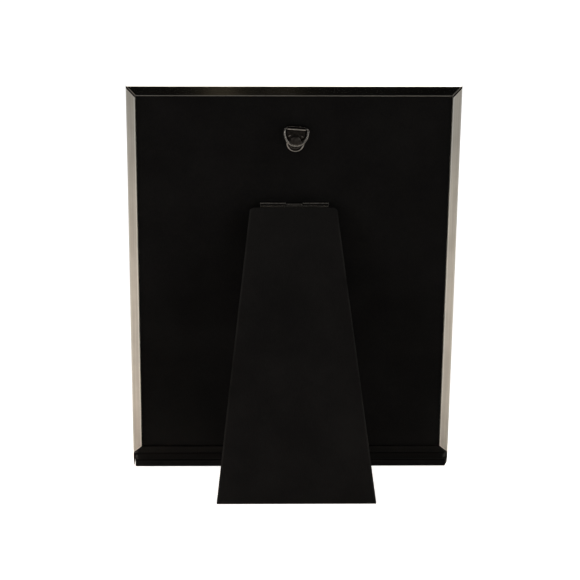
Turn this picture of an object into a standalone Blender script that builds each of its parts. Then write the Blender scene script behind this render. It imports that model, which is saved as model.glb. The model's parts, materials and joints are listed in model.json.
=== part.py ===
# Standing metal photo frame for an 8 x 10 inch picture, seen as an assembly.
# Metres, +Z up. The picture faces -Y, the leg stands behind it at +Y.
# The origin is the middle of the foot's flat underside, on the table.

import bpy
import bmesh
from math import acos, atan2, cos, pi, radians, sin, tan
from mathutils import Vector

# Opening at the back, which takes an 8 x 10 inch back
OPENING_WIDTH = 0.2032
OPENING_HEIGHT = 0.2540
LEAN = radians(15.0)

# Metal bars
BAR_WIDTH = 0.0060
BAR_WALL = 0.0010
LIP_WIDTH = 0.0050
LIP_THICKNESS = 0.0012
LAND_WIDTH = 0.0008
BEVEL_DROP = 0.0018
BAR_EDGE_SOFTENING = 0.0002
MITRE_GAP = 0.0003
KEY_ARM = 0.0180
KEY_EDGE_SOFTENING = 0.0003

# Clearances and the overrun of every cut
FIT = 0.0003
SNUG = 0.00015
OVERRUN = 0.0010

# Stack between the front lip and the back
GLASS_THICKNESS = 0.0020
PRINT_THICKNESS = 0.0003
CARD_THICKNESS = 0.0015
BOARD_THICKNESS = 0.0030
COVER_THICKNESS = 0.0005
COVER_RECESS = 0.0008
PANE_EDGE_SOFTENING = 0.0003
COVER_EDGE_SOFTENING = 0.0002

# Base under the bottom bar
RAIL_HEIGHT = 0.0052
RAIL_SETBACK = 0.0012
RAIL_EDGE_SOFTENING = 0.0007
PAD_HEIGHT = 0.0049
PAD_END_INSET = 0.0013
PAD_EDGE_SOFTENING = 0.0005
RAIL_SCREW_PITCH = 0.0700
RAIL_SCREW_COUNT = 3
SCREW_RADIUS = 0.0012
SCREW_HEAD_OVERHANG = 0.0012
SCREW_HEAD_HEIGHT = 0.0014
SCREW_REACH = 0.0012

# Edge springs of the back
SPRING_LENGTH = 0.0140
SPRING_BOW = 0.0012
SPRING_THICKNESS = 0.0003
SPRING_HEIGHT_SHARE = 0.65
NOTCH_END_ROOM = 0.0006
SPRING_UPPER_SHARE = 0.78
SPRING_LOWER_SHARE = 0.22

# Leg hinge, a riveted butt hinge with three knuckles
HINGE_FROM_TOP = 0.0745
HINGE_LENGTH = 0.0446
HINGE_MIDDLE_LENGTH = 0.0104
HINGE_SIDEWAYS = -0.0007
PIN_RADIUS = 0.00065
PIN_FIT = 0.0001
PIN_OVERHANG = 0.0002
KNUCKLE_GAP = 0.0003
LEAF_THICKNESS = 0.0005
LEAF_END_MARGIN = 0.0060
BACK_RIVET_PITCH = 0.0130
LEG_RIVET_END_MARGIN = 0.0073
UPPER_RIVET_DROP = 0.0080
RIVET_ROW_PITCH = 0.0120
HINGE_RIVET_RADIUS = 0.0009
HINGE_RIVET_HEAD_OVERHANG = 0.0008
HINGE_RIVET_HEAD_HEIGHT = 0.0006

# Easel leg
LEG_OPEN_ANGLE = radians(27.6)
LEG_TOP_WIDTH = 0.0566
LEG_FOOT_WIDTH = 0.1032
LEG_TOP_DROP = 0.0025
LEG_TOP_SIDEWAYS = -0.0001
LEG_FOOT_SIDEWAYS = -0.0017
LEG_CORE_THICKNESS = 0.0025
LEG_COVER_THICKNESS = 0.0003
LEG_CORNER_RADIUS = 0.0025
LEG_COVER_EDGE_SOFTENING = 0.0002

# Strap hanger and its D ring
HANGER_FROM_TOP = 0.0214
HANGER_SIDEWAYS = -0.0018
HANGER_TILT = radians(4.1)
STRAP_FOLD_WIDTH = 0.0120
STRAP_TAB_WIDTH = 0.0113
STRAP_LENGTH = 0.0170
STRAP_THICKNESS = 0.0006
STRAP_CURL_CLEARANCE = 0.00015
STRAP_CURL_END = radians(-22.0)
STRAP_DIMPLE_RADIUS = 0.0007
STRAP_DIMPLE_HEIGHT = 0.0003
STRAP_DIMPLE_PITCH = 0.0085
STRAP_DIMPLE_DROP = 0.0059
HANGER_RIVET_DROP = 0.0090
HANGER_RIVET_RADIUS = 0.0014
HANGER_RIVET_HEAD_OVERHANG = 0.0019
HANGER_RIVET_HEAD_HEIGHT = 0.0012
RING_WIRE_RADIUS = 0.0007
RING_FOLD_ROOM = 0.00015
RING_DROP = 0.0121
RING_CORNER_RADIUS = 0.0015
RING_STRAIGHT_SIDE = 0.0012

# Smoothness of round shapes
ROUND_SIDES = 24
WIRE_SIDES = 10
ARC_STEP = radians(15.0)
SMOOTH_ANGLE = radians(35.0)

# Places worked out from the sizes above
OUTER_WIDTH = OPENING_WIDTH + 2 * BAR_WIDTH
OUTER_HEIGHT = OPENING_HEIGHT + 2 * BAR_WIDTH
GLASS_FRONT = LIP_THICKNESS + FIT
PRINT_FRONT = GLASS_FRONT + GLASS_THICKNESS + FIT
CARD_FRONT = PRINT_FRONT + PRINT_THICKNESS + FIT
BOARD_FRONT = CARD_FRONT + CARD_THICKNESS + FIT
COVER_FRONT = BOARD_FRONT + BOARD_THICKNESS + FIT
COVER_BACK = COVER_FRONT + COVER_THICKNESS
BAR_DEPTH = COVER_BACK + COVER_RECESS
BEVEL_FOOT = BAR_DEPTH - BEVEL_DROP
PANE_WIDTH = OPENING_WIDTH - 2 * FIT
PANE_HEIGHT = OPENING_HEIGHT - 2 * FIT
RAIL_TOP = -BAR_WIDTH - FIT
RAIL_BOTTOM = RAIL_TOP - RAIL_HEIGHT
PAD_TOP = RAIL_BOTTOM - FIT
PAD_BOTTOM_BACK = PAD_TOP - PAD_HEIGHT
PAD_BOTTOM_FRONT = PAD_BOTTOM_BACK - (BEVEL_FOOT - RAIL_SETBACK) * tan(LEAN)
FRAME_LIFT = BEVEL_FOOT * sin(LEAN) - PAD_BOTTOM_BACK * cos(LEAN)
PAD_MIDDLE_DEEP = (BEVEL_FOOT + RAIL_SETBACK) / 2
PAD_MIDDLE_DOWN = (PAD_BOTTOM_BACK + PAD_BOTTOM_FRONT) / 2
FRAME_SHIFT = -PAD_MIDDLE_DEEP * cos(LEAN) - PAD_MIDDLE_DOWN * sin(LEAN)

SCREW_HEAD_RADIUS = SCREW_RADIUS + SCREW_HEAD_OVERHANG
HINGE_HEIGHT = OPENING_HEIGHT - HINGE_FROM_TOP
HANGER_HEIGHT = OPENING_HEIGHT - HANGER_FROM_TOP
KNUCKLE_BORE_RADIUS = PIN_RADIUS + PIN_FIT
KNUCKLE_RADIUS = KNUCKLE_BORE_RADIUS + LEAF_THICKNESS
LEAF_DROP = UPPER_RIVET_DROP + RIVET_ROW_PITCH + LEAF_END_MARGIN
HINGE_DEEP = COVER_BACK + FIT + KNUCKLE_RADIUS
HINGE_LIFT = FRAME_LIFT - HINGE_DEEP * sin(LEAN) + HINGE_HEIGHT * cos(LEAN)
LEG_FROM_UPRIGHT = LEG_OPEN_ANGLE - LEAN
LEG_INNER_COVER_DEEP = KNUCKLE_RADIUS + SNUG
LEG_CORE_DEEP = LEG_INNER_COVER_DEEP + LEG_COVER_THICKNESS + SNUG
LEG_OUTER_COVER_DEEP = LEG_CORE_DEEP + LEG_CORE_THICKNESS + SNUG

RING_WIDTH = STRAP_FOLD_WIDTH + 2 * (RING_FOLD_ROOM + RING_CORNER_RADIUS + RING_WIRE_RADIUS)
CURL_INNER_RADIUS = RING_WIRE_RADIUS + STRAP_CURL_CLEARANCE
CURL_OUTER_RADIUS = CURL_INNER_RADIUS + STRAP_THICKNESS
HANGER_DEEP = COVER_BACK + SNUG + CURL_OUTER_RADIUS
RING_HANG_ANGLE = atan2(sin(LEAN), cos(LEAN) * cos(HANGER_TILT))


def clear_scene():
    for thing in list(bpy.data.objects):
        bpy.data.objects.remove(thing, do_unlink=True)


def make_material(name, colour, roughness, metallic):
    material = bpy.data.materials.new(name)
    material.use_nodes = True
    shader = material.node_tree.nodes["Principled BSDF"]
    shader.inputs["Base Color"].default_value = (*colour, 1.0)
    shader.inputs["Roughness"].default_value = roughness
    shader.inputs["Metallic"].default_value = metallic
    return material


def add_empty(name, parent, location, rotation):
    empty = bpy.data.objects.new(name, None)
    bpy.context.collection.objects.link(empty)
    empty.parent = parent
    empty.location = location
    empty.rotation_euler = rotation
    return empty


def add_copy(name, mesh, parent, location, rotation=(0, 0, 0)):
    """Place an object on a mesh that it may share with others."""
    solid = bpy.data.objects.new(name, mesh)
    bpy.context.collection.objects.link(solid)
    solid.parent = parent
    solid.location = location
    solid.rotation_euler = rotation
    return solid


def add_solid(name, mesh, material, parent, location=(0, 0, 0), rotation=(0, 0, 0)):
    mesh.materials.append(material)
    return add_copy(name, mesh, parent, location, rotation)


def finish_mesh(name, bm, smooth=False):
    """Turn a bmesh into a mesh with its faces outwards."""
    bmesh.ops.recalc_face_normals(bm, faces=bm.faces)
    mesh = bpy.data.meshes.new(name)
    bm.to_mesh(mesh)
    bm.free()
    if smooth:
        mesh.shade_smooth()
        mesh.set_sharp_from_angle(angle=SMOOTH_ANGLE)
    return mesh


def prism(bm, outline, low, high, place):
    """Carry a flat outline from low to high. place(u, v, along) gives each point."""
    bottom = [bm.verts.new(place(u, v, low)) for u, v in outline]
    top = [bm.verts.new(place(u, v, high)) for u, v in outline]
    count = len(outline)
    for index in range(count):
        after = (index + 1) % count
        bm.faces.new((bottom[index], bottom[after], top[after], top[index]))
    bm.faces.new(bottom)
    bm.faces.new(top)


def across_x(u, v, along):
    """Outline drawn in (deep, up), carried sideways."""
    return (along, u, v)


def across_y(u, v, along):
    """Outline drawn in (sideways, up), carried from front to back."""
    return (u, along, v)


def block(name, lows, highs):
    bm = bmesh.new()
    outline = [(lows[0], lows[2]), (highs[0], lows[2]), (highs[0], highs[2]), (lows[0], highs[2])]
    prism(bm, outline, lows[1], highs[1], across_y)
    return finish_mesh(name, bm)


def turned(bm, profile, centre, direction):
    """Turn (radius, along) points about a direction through centre."""
    turn = Vector((0, 0, 1)).rotation_difference(Vector(direction)).to_matrix()
    rings = []
    for radius, along in profile:
        count = ROUND_SIDES if radius > 0 else 1
        angles = [2 * pi * step / count for step in range(count)]
        points = [Vector((radius * cos(a), radius * sin(a), along)) for a in angles]
        rings.append([bm.verts.new(Vector(centre) + turn @ point) for point in points])
    for lower, upper in zip(rings, rings[1:]):
        for index in range(ROUND_SIDES):
            after = (index + 1) % ROUND_SIDES
            if len(lower) == 1:
                bm.faces.new((lower[0], upper[after], upper[index]))
            elif len(upper) == 1:
                bm.faces.new((lower[index], lower[after], upper[0]))
            else:
                bm.faces.new((lower[index], lower[after], upper[after], upper[index]))


def round_bar(bm, radius, low, high, centre, direction):
    turned(bm, [(0, low), (radius, low), (radius, high), (0, high)], centre, direction)


def rivet_mesh(name, shank_radius, shank_length, head_overhang, head_height):
    """A domed rivet along +Y, whose head seats at its origin."""
    head_radius = shank_radius + head_overhang
    rise_shares = [(0.94, 0.34), (0.78, 0.66), (0.45, 0.92)]
    profile = [(0, -shank_length), (shank_radius, -shank_length), (shank_radius, 0), (head_radius, 0)]
    profile += [(head_radius * wide, head_height * high) for wide, high in rise_shares]
    profile.append((0, head_height))
    bm = bmesh.new()
    turned(bm, profile, (0, 0, 0), (0, 1, 0))
    return finish_mesh(name, bm, True)


def soften(solid, width, segments=1, angle=radians(30.0)):
    bevel = solid.modifiers.new("soft edges", "BEVEL")
    bevel.width = width
    bevel.segments = segments
    bevel.limit_method = "ANGLE"
    bevel.angle_limit = angle
    return bevel


def cutter(name, mesh, parent, location=(0, 0, 0), rotation=(0, 0, 0)):
    tool = add_copy(name, mesh, parent, location, rotation)
    tool.hide_render = True
    tool.display_type = "WIRE"
    return tool


def boolean(solid, tool, operation="DIFFERENCE"):
    step = solid.modifiers.new(tool.name, "BOOLEAN")
    step.operation = operation
    step.object = tool
    step.solver = "EXACT"


def arc(centre, radius, start, end, step_angle=ARC_STEP):
    """Points round an arc, both ends included."""
    count = max(2, round(abs(end - start) / step_angle))
    angles = [start + (end - start) * step / count for step in range(count + 1)]
    return [(centre[0] + radius * cos(a), centre[1] + radius * sin(a)) for a in angles]


# The four hollow bars

def bar_section():
    """Section as (inwards from the outer edge, deep from the front face)."""
    face = BAR_WIDTH + LIP_WIDTH
    return [
        (0, 0), (face, 0), (face, LIP_THICKNESS), (BAR_WIDTH, LIP_THICKNESS),
        (BAR_WIDTH, BAR_DEPTH), (BAR_WIDTH - LAND_WIDTH, BAR_DEPTH), (0, BEVEL_FOOT)]


def cavity_section():
    inner = BAR_WIDTH - BAR_WALL
    deep = BEVEL_FOOT - BAR_WALL
    return [(BAR_WALL, BAR_WALL), (inner, BAR_WALL), (inner, deep), (BAR_WALL, deep)]


def mitred_length(section, outer_length, end_gap):
    """A bar along X with its outer edge at z = 0 and both ends mitred at 45 degrees."""
    bm = bmesh.new()
    half = outer_length / 2 - end_gap
    left = [bm.verts.new((inwards - half, deep, -inwards)) for inwards, deep in section]
    right = [bm.verts.new((half - inwards, deep, -inwards)) for inwards, deep in section]
    count = len(section)
    for index in range(count):
        after = (index + 1) % count
        bm.faces.new((left[index], left[after], right[after], right[index]))
    bm.faces.new(left)
    bm.faces.new(right)
    return bm


def build_bars(parent, metal):
    middle = OPENING_HEIGHT / 2
    sides = [
        ("top_bar", OUTER_WIDTH, (0, 0, middle + OUTER_HEIGHT / 2), 0.0),
        ("right_bar", OUTER_HEIGHT, (OUTER_WIDTH / 2, 0, middle), pi / 2),
        ("bottom_bar", OUTER_WIDTH, (0, 0, middle - OUTER_HEIGHT / 2), pi),
        ("left_bar", OUTER_HEIGHT, (-OUTER_WIDTH / 2, 0, middle), -pi / 2)]
    bars = {}
    for name, length, location, turn in sides:
        rotation = (0, turn, 0)
        mesh = finish_mesh(name, mitred_length(bar_section(), length, MITRE_GAP / 2))
        bar = add_solid(name, mesh, metal, parent, location, rotation)
        soften(bar, BAR_EDGE_SOFTENING)
        hollow = finish_mesh(name + "_hollow", mitred_length(cavity_section(), length, -OVERRUN))
        boolean(bar, cutter(name + "_hollow", hollow, parent, location, rotation))
        bars[name] = bar
    return bars


def build_corner_keys(parent, steel):
    """An L of flat steel in each corner, in the hollows of two bars."""
    middle = OPENING_HEIGHT / 2
    width = BAR_WIDTH - 2 * BAR_WALL - 2 * FIT
    reach_x = OUTER_WIDTH / 2 - BAR_WALL - FIT
    reach_z = OUTER_HEIGHT / 2 - BAR_WALL - FIT
    front = BAR_WALL + FIT
    back = BEVEL_FOOT - BAR_WALL - FIT
    corners = [("top_left", -1, 1), ("top_right", 1, 1), ("bottom_left", -1, -1), ("bottom_right", 1, -1)]
    for name, side, level in corners:
        outline = [
            (reach_x, reach_z), (reach_x - KEY_ARM, reach_z), (reach_x - KEY_ARM, reach_z - width),
            (reach_x - width, reach_z - width), (reach_x - width, reach_z - KEY_ARM),
            (reach_x, reach_z - KEY_ARM)]
        placed = [(side * x, middle + level * z) for x, z in outline]
        bm = bmesh.new()
        prism(bm, placed, front, back, across_y)
        key_name = "corner_key_" + name
        key = add_solid(key_name, finish_mesh(key_name, bm), steel, parent)
        soften(key, KEY_EDGE_SOFTENING)


# Base rail, its screws and the foot pad

def build_base(parent, bottom_bar, painted, rubber, steel):
    half = OUTER_WIDTH / 2
    rail_mesh = block("base_rail", (-half, RAIL_SETBACK, RAIL_BOTTOM), (half, BEVEL_FOOT, RAIL_TOP))
    rail = add_solid("base_rail", rail_mesh, painted, parent)
    soften(rail, RAIL_EDGE_SOFTENING, 2)

    section = [
        (RAIL_SETBACK, PAD_TOP), (RAIL_SETBACK, PAD_BOTTOM_FRONT),
        (BEVEL_FOOT, PAD_BOTTOM_BACK), (BEVEL_FOOT, PAD_TOP)]
    bm = bmesh.new()
    prism(bm, section, PAD_END_INSET - half, half - PAD_END_INSET, across_x)
    pad = add_solid("foot_pad", finish_mesh("foot_pad", bm), rubber, parent)
    soften(pad, PAD_EDGE_SOFTENING)

    deep = BEVEL_FOOT / 2
    head_bottom = RAIL_BOTTOM + FIT
    head_top = head_bottom + SCREW_HEAD_HEIGHT
    tip = BAR_WALL - BAR_WIDTH + SCREW_REACH
    start = -RAIL_SCREW_PITCH * (RAIL_SCREW_COUNT - 1) / 2
    screw = bmesh.new()
    turned(screw, [
        (0, head_bottom), (SCREW_HEAD_RADIUS, head_bottom), (SCREW_HEAD_RADIUS, head_top),
        (SCREW_RADIUS, head_top), (SCREW_RADIUS, tip), (0, tip)], (0, 0, 0), (0, 0, 1))
    screw_mesh = finish_mesh("rail_screw", screw, True)
    screw_mesh.materials.append(steel)
    holes = bmesh.new()
    for index in range(RAIL_SCREW_COUNT):
        centre = (start + RAIL_SCREW_PITCH * index, deep, 0)
        add_copy(f"rail_screw_{index + 1}", screw_mesh, parent, centre)
        turned(holes, [
            (0, RAIL_BOTTOM - OVERRUN), (SCREW_HEAD_RADIUS + FIT, RAIL_BOTTOM - OVERRUN),
            (SCREW_HEAD_RADIUS + FIT, head_top + FIT), (SCREW_RADIUS + FIT, head_top + FIT),
            (SCREW_RADIUS + FIT, tip + OVERRUN), (0, tip + OVERRUN)], centre, (0, 0, 1))
    tool = cutter("rail_screw_holes", finish_mesh("rail_screw_holes", holes), parent)
    boolean(rail, tool)
    boolean(bottom_bar, tool)


# Glass, picture and backing card

def build_stack(parent, glass, paper, card):
    half = PANE_WIDTH / 2
    sheets = [
        ("glass_pane", GLASS_FRONT, GLASS_THICKNESS, glass),
        ("photo_insert", PRINT_FRONT, PRINT_THICKNESS, paper),
        ("backing_card", CARD_FRONT, CARD_THICKNESS, card)]
    for name, front, thickness, material in sheets:
        mesh = block(name, (-half, front, FIT), (half, front + thickness, FIT + PANE_HEIGHT))
        sheet = add_solid(name, mesh, material, parent)
        if name == "glass_pane":
            soften(sheet, PANE_EDGE_SOFTENING)


# Removable back with its edge springs

def spring_outline(side, height):
    """A thin bow with its crown at the board's edge, as (sideways, up)."""
    radius = (SPRING_LENGTH ** 2 / 4 + SPRING_BOW ** 2) / (2 * SPRING_BOW)
    spread = atan2(SPRING_LENGTH / 2, radius - SPRING_BOW)
    centre = (PANE_WIDTH / 2 - radius, height)
    outer = arc(centre, radius, -spread, spread, ARC_STEP / 3)
    inner = arc(centre, radius - SPRING_THICKNESS, spread, -spread, ARC_STEP / 3)
    return [(side * across, up) for across, up in outer + inner]


def rivet_places():
    """Hinge rivets as (sideways, drop below the hinge axis), back leaf then leg leaf."""
    drops = (UPPER_RIVET_DROP, UPPER_RIVET_DROP + RIVET_ROW_PITCH)
    back_side = BACK_RIVET_PITCH / 2
    leg_side = HINGE_LENGTH / 2 - LEG_RIVET_END_MARGIN
    back = [(side * back_side, drop) for drop in drops for side in (-1, 1)]
    leg = [(side * leg_side, drop) for drop in drops for side in (-1, 1)]
    return back, leg


def build_back(parent, hanger_frame, board_material, cover_material, steel):
    half = PANE_WIDTH / 2
    top = FIT + PANE_HEIGHT
    board_back = BOARD_FRONT + BOARD_THICKNESS
    board_mesh = block("back_board", (-half, BOARD_FRONT, FIT), (half, board_back, top))
    board = add_solid("back_board", board_mesh, board_material, parent)
    cover_mesh = block("back_cover", (-half, COVER_FRONT, FIT), (half, COVER_BACK, top))
    cover = add_solid("back_cover", cover_mesh, cover_material, parent)
    soften(cover, COVER_EDGE_SOFTENING)

    low = BOARD_FRONT - OVERRUN
    high = COVER_BACK + OVERRUN
    holes = bmesh.new()
    for across, drop in rivet_places()[0]:
        centre = (HINGE_SIDEWAYS + across, 0, HINGE_HEIGHT - drop)
        round_bar(holes, HINGE_RIVET_RADIUS + SNUG, low, high, centre, (0, 1, 0))
    hinge_tool = cutter("back_hinge_holes", finish_mesh("back_hinge_holes", holes), parent)
    hole = bmesh.new()
    centre = (0, -HANGER_DEEP, -HANGER_RIVET_DROP)
    round_bar(hole, HANGER_RIVET_RADIUS + SNUG, low, high, centre, (0, 1, 0))
    hanger_tool = cutter("back_hanger_hole", finish_mesh("back_hanger_hole", hole), hanger_frame)
    for solid in (board, cover):
        boolean(solid, hinge_tool)
        boolean(solid, hanger_tool)

    notch_floor = half - SPRING_BOW - SPRING_THICKNESS - FIT
    notch_half = SPRING_LENGTH / 2 + NOTCH_END_ROOM
    spring_rise = BOARD_THICKNESS * SPRING_HEIGHT_SHARE
    spring_front = BOARD_FRONT + (BOARD_THICKNESS - spring_rise) / 2
    notches = bmesh.new()
    for level, height_share in (("upper", SPRING_UPPER_SHARE), ("lower", SPRING_LOWER_SHARE)):
        height = OPENING_HEIGHT * height_share
        for name, side in (("left", -1), ("right", 1)):
            outline = [
                (side * notch_floor, height - notch_half), (side * (half + OVERRUN), height - notch_half),
                (side * (half + OVERRUN), height + notch_half), (side * notch_floor, height + notch_half)]
            prism(notches, outline, BOARD_FRONT - OVERRUN, board_back + OVERRUN, across_y)
            spring_name = f"edge_spring_{level}_{name}"
            bm = bmesh.new()
            prism(bm, spring_outline(side, height), spring_front, spring_front + spring_rise, across_y)
            add_solid(spring_name, finish_mesh(spring_name, bm, True), steel, parent)
    boolean(board, cutter("spring_notches", finish_mesh("spring_notches", notches), parent))


# Leg hinge

def leaf_section(side):
    """Leaf and knuckle in one outline, as (deep, up) from the hinge axis."""
    meet = -acos((LEAF_THICKNESS - KNUCKLE_RADIUS) / KNUCKLE_RADIUS)
    outline = [(-KNUCKLE_RADIUS, -LEAF_DROP)]
    outline += arc((0, 0), KNUCKLE_RADIUS, pi, meet)
    outline.append((LEAF_THICKNESS - KNUCKLE_RADIUS, -LEAF_DROP))
    return [(side * deep, up) for deep, up in outline]


def build_leaf(name, side, clear_spans, rivets, parent, steel):
    """One hinge leaf. Its knuckles are cut away over the spans where the other leaf has its own."""
    half = HINGE_LENGTH / 2
    bm = bmesh.new()
    prism(bm, leaf_section(side), -half, half, across_x)
    leaf = add_solid(name, finish_mesh(name, bm, True), steel, parent)
    reach = KNUCKLE_RADIUS + OVERRUN
    clear = bmesh.new()
    for low, high in clear_spans:
        outline = [
            (-reach, -KNUCKLE_RADIUS - KNUCKLE_GAP), (reach, -KNUCKLE_RADIUS - KNUCKLE_GAP),
            (reach, reach), (-reach, reach)]
        prism(clear, outline, low, high, across_x)
    boolean(leaf, cutter(name + "_clear", finish_mesh(name + "_clear", clear), parent))
    bore = bmesh.new()
    round_bar(bore, KNUCKLE_BORE_RADIUS, -half - OVERRUN, half + OVERRUN, (0, 0, 0), (1, 0, 0))
    boolean(leaf, cutter(name + "_bore", finish_mesh(name + "_bore", bore), parent))
    holes = bmesh.new()
    for across, drop in rivets:
        round_bar(holes, HINGE_RIVET_RADIUS + SNUG, -reach, reach, (across, 0, -drop), (0, 1, 0))
    boolean(leaf, cutter(name + "_holes", finish_mesh(name + "_holes", holes), parent))


def build_hinge(back_side, leg_side, steel):
    half = HINGE_LENGTH / 2
    middle = HINGE_MIDDLE_LENGTH / 2
    back_rivets, leg_rivets = rivet_places()
    middle_span = [(-middle - KNUCKLE_GAP, middle + KNUCKLE_GAP)]
    outer_spans = [(-half - OVERRUN, -middle), (middle, half + OVERRUN)]
    build_leaf("hinge_leaf_back", 1, middle_span, back_rivets, back_side, steel)
    build_leaf("hinge_leaf_leg", -1, outer_spans, leg_rivets, leg_side, steel)

    pin = bmesh.new()
    reach = half + PIN_OVERHANG
    round_bar(pin, PIN_RADIUS, -reach, reach, (0, 0, 0), (1, 0, 0))
    add_solid("hinge_pin", finish_mesh("hinge_pin", pin, True), steel, back_side)

    seat = LEAF_THICKNESS - KNUCKLE_RADIUS + SNUG
    back_shank = seat + HINGE_DEEP - BOARD_FRONT
    leg_shank = seat + LEG_CORE_DEEP + LEG_CORE_THICKNESS
    groups = [
        ("hinge_rivet_back", back_rivets, seat, back_shank, 0, back_side),
        ("hinge_rivet_leg", leg_rivets, -seat, leg_shank, pi, leg_side)]
    for name, places, deep, shank, turn, parent in groups:
        mesh = rivet_mesh(
            name, HINGE_RIVET_RADIUS, shank, HINGE_RIVET_HEAD_OVERHANG, HINGE_RIVET_HEAD_HEIGHT)
        mesh.materials.append(steel)
        for index, (across, drop) in enumerate(places):
            add_copy(f"{name}_{index + 1}", mesh, parent, (across, deep, -drop), (0, 0, turn))


# Easel leg, drawn folded and turned open by its parent

def leg_end(deep, lift):
    """How far down the leg ends at one depth, so that its foot is flat on the table when open."""
    return -(HINGE_LIFT - lift + deep * sin(LEG_FROM_UPRIGHT)) / cos(LEG_FROM_UPRIGHT)


def leg_outline(deep, lift):
    """Leg seen square on, as (sideways, up) from the hinge axis: round top corners, flaring sides."""
    length = -LEG_TOP_DROP - leg_end(LEG_OUTER_COVER_DEEP, 0)
    flare = (LEG_FOOT_WIDTH - LEG_TOP_WIDTH) / 2 / length
    drift = (LEG_FOOT_SIDEWAYS - LEG_TOP_SIDEWAYS) / length
    end = leg_end(deep, lift)
    half_top = LEG_TOP_WIDTH / 2
    half_end = half_top - flare * (LEG_TOP_DROP + end)
    corner = (half_top - LEG_CORNER_RADIUS, -LEG_TOP_DROP - LEG_CORNER_RADIUS)
    right = [(half_end, end)] + arc(corner, LEG_CORNER_RADIUS, flare, pi / 2)
    left = [(-across, up) for across, up in reversed(right)]
    middle = LEG_TOP_SIDEWAYS - HINGE_SIDEWAYS
    return [(middle - drift * (LEG_TOP_DROP + up) + across, up) for across, up in right + left]


def leg_slab(name, front, thickness, lift, material, parent):
    """One layer of the leg, whose lift shortens it at the foot."""
    bm = bmesh.new()
    faces = []
    for deep in (front, front + thickness):
        faces.append([bm.verts.new((across, deep, up)) for across, up in leg_outline(deep, lift)])
    near, far = faces
    for index in range(len(near)):
        after = (index + 1) % len(near)
        bm.faces.new((near[index], near[after], far[after], far[index]))
    bm.faces.new(near)
    bm.faces.new(far)
    return add_solid(name, finish_mesh(name, bm), material, parent)


def build_leg(parent, board_material, cover_material):
    thin = LEG_COVER_THICKNESS
    inner = leg_slab("leg_inner_cover", LEG_INNER_COVER_DEEP, thin, FIT, cover_material, parent)
    core = leg_slab("leg_core", LEG_CORE_DEEP, LEG_CORE_THICKNESS, 0, board_material, parent)
    outer = leg_slab("leg_outer_cover", LEG_OUTER_COVER_DEEP, thin, FIT, cover_material, parent)
    soften(outer, LEG_COVER_EDGE_SOFTENING)
    holes = bmesh.new()
    for across, drop in rivet_places()[1]:
        low = LEG_INNER_COVER_DEEP - OVERRUN
        high = LEG_CORE_DEEP + LEG_CORE_THICKNESS + SNUG / 2
        round_bar(holes, HINGE_RIVET_RADIUS + SNUG, low, high, (across, 0, -drop), (0, 1, 0))
    tool = cutter("leg_rivet_holes", finish_mesh("leg_rivet_holes", holes), parent)
    boolean(inner, tool)
    boolean(core, tool)


# Strap hanger and its ring

def build_strap(parent, metal):
    inner, outer = CURL_INNER_RADIUS, CURL_OUTER_RADIUS
    section = arc((0, 0), outer, pi, STRAP_CURL_END) + arc((0, 0), inner, STRAP_CURL_END, pi)
    section += [(-inner, -STRAP_LENGTH), (-outer, -STRAP_LENGTH)]
    half = STRAP_FOLD_WIDTH / 2
    bm = bmesh.new()
    prism(bm, section, -half, half, across_x)
    strap = add_solid("hanger_strap", finish_mesh("hanger_strap", bm, True), metal, parent)

    tab = STRAP_TAB_WIDTH / 2
    wide = half + OVERRUN
    high = outer + OVERRUN
    outline = [(wide, high), (-wide, high), (-wide, -outer), (-tab, -STRAP_LENGTH / 2)]
    outline += arc((0, tab - STRAP_LENGTH), tab, pi, 2 * pi)
    outline += [(tab, -STRAP_LENGTH / 2), (wide, -outer)]
    shape = bmesh.new()
    prism(shape, outline, -outer - OVERRUN, outer + OVERRUN, across_y)
    boolean(strap, cutter("strap_shape", finish_mesh("strap_shape", shape), parent), "INTERSECT")

    dimples = bmesh.new()
    for side in (-1, 1):
        base = -inner - STRAP_THICKNESS / 2
        rise = -inner + STRAP_DIMPLE_HEIGHT
        turned(dimples, [
            (0, base), (STRAP_DIMPLE_RADIUS, base), (STRAP_DIMPLE_RADIUS, -inner),
            (STRAP_DIMPLE_RADIUS / 2, rise), (0, rise)],
            (side * STRAP_DIMPLE_PITCH / 2, 0, -STRAP_DIMPLE_DROP), (0, 1, 0))
    boolean(strap, cutter("strap_dimples", finish_mesh("strap_dimples", dimples), parent), "UNION")
    hole = bmesh.new()
    round_bar(hole, HANGER_RIVET_RADIUS + SNUG, -outer - OVERRUN, 0, (0, 0, -HANGER_RIVET_DROP), (0, 1, 0))
    boolean(strap, cutter("strap_hole", finish_mesh("strap_hole", hole), parent))

    seat = SNUG - inner
    shank = seat + HANGER_DEEP - BOARD_FRONT
    rivet = rivet_mesh(
        "hanger_rivet", HANGER_RIVET_RADIUS, shank, HANGER_RIVET_HEAD_OVERHANG, HANGER_RIVET_HEAD_HEIGHT)
    add_solid("hanger_rivet", rivet, metal, parent, (0, seat, -HANGER_RIVET_DROP))


def ring_path():
    """Centre line of the D as (sideways, up) from the fold's axis, once round."""
    half = RING_WIDTH / 2 - RING_WIRE_RADIUS
    drop = RING_DROP - RING_WIRE_RADIUS
    side_end = RING_CORNER_RADIUS + RING_STRAIGHT_SIDE
    corner = (half - RING_CORNER_RADIUS, -RING_CORNER_RADIUS)
    right = arc(corner, RING_CORNER_RADIUS, pi / 2, 0, ARC_STEP * 2)
    bow = arc((0, 0), 1, 0, -pi, ARC_STEP / 2)
    curve = [(half * across, (drop - side_end) * up - side_end) for across, up in bow]
    left = [(-across, up) for across, up in reversed(right)]
    return right + curve + left


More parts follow.
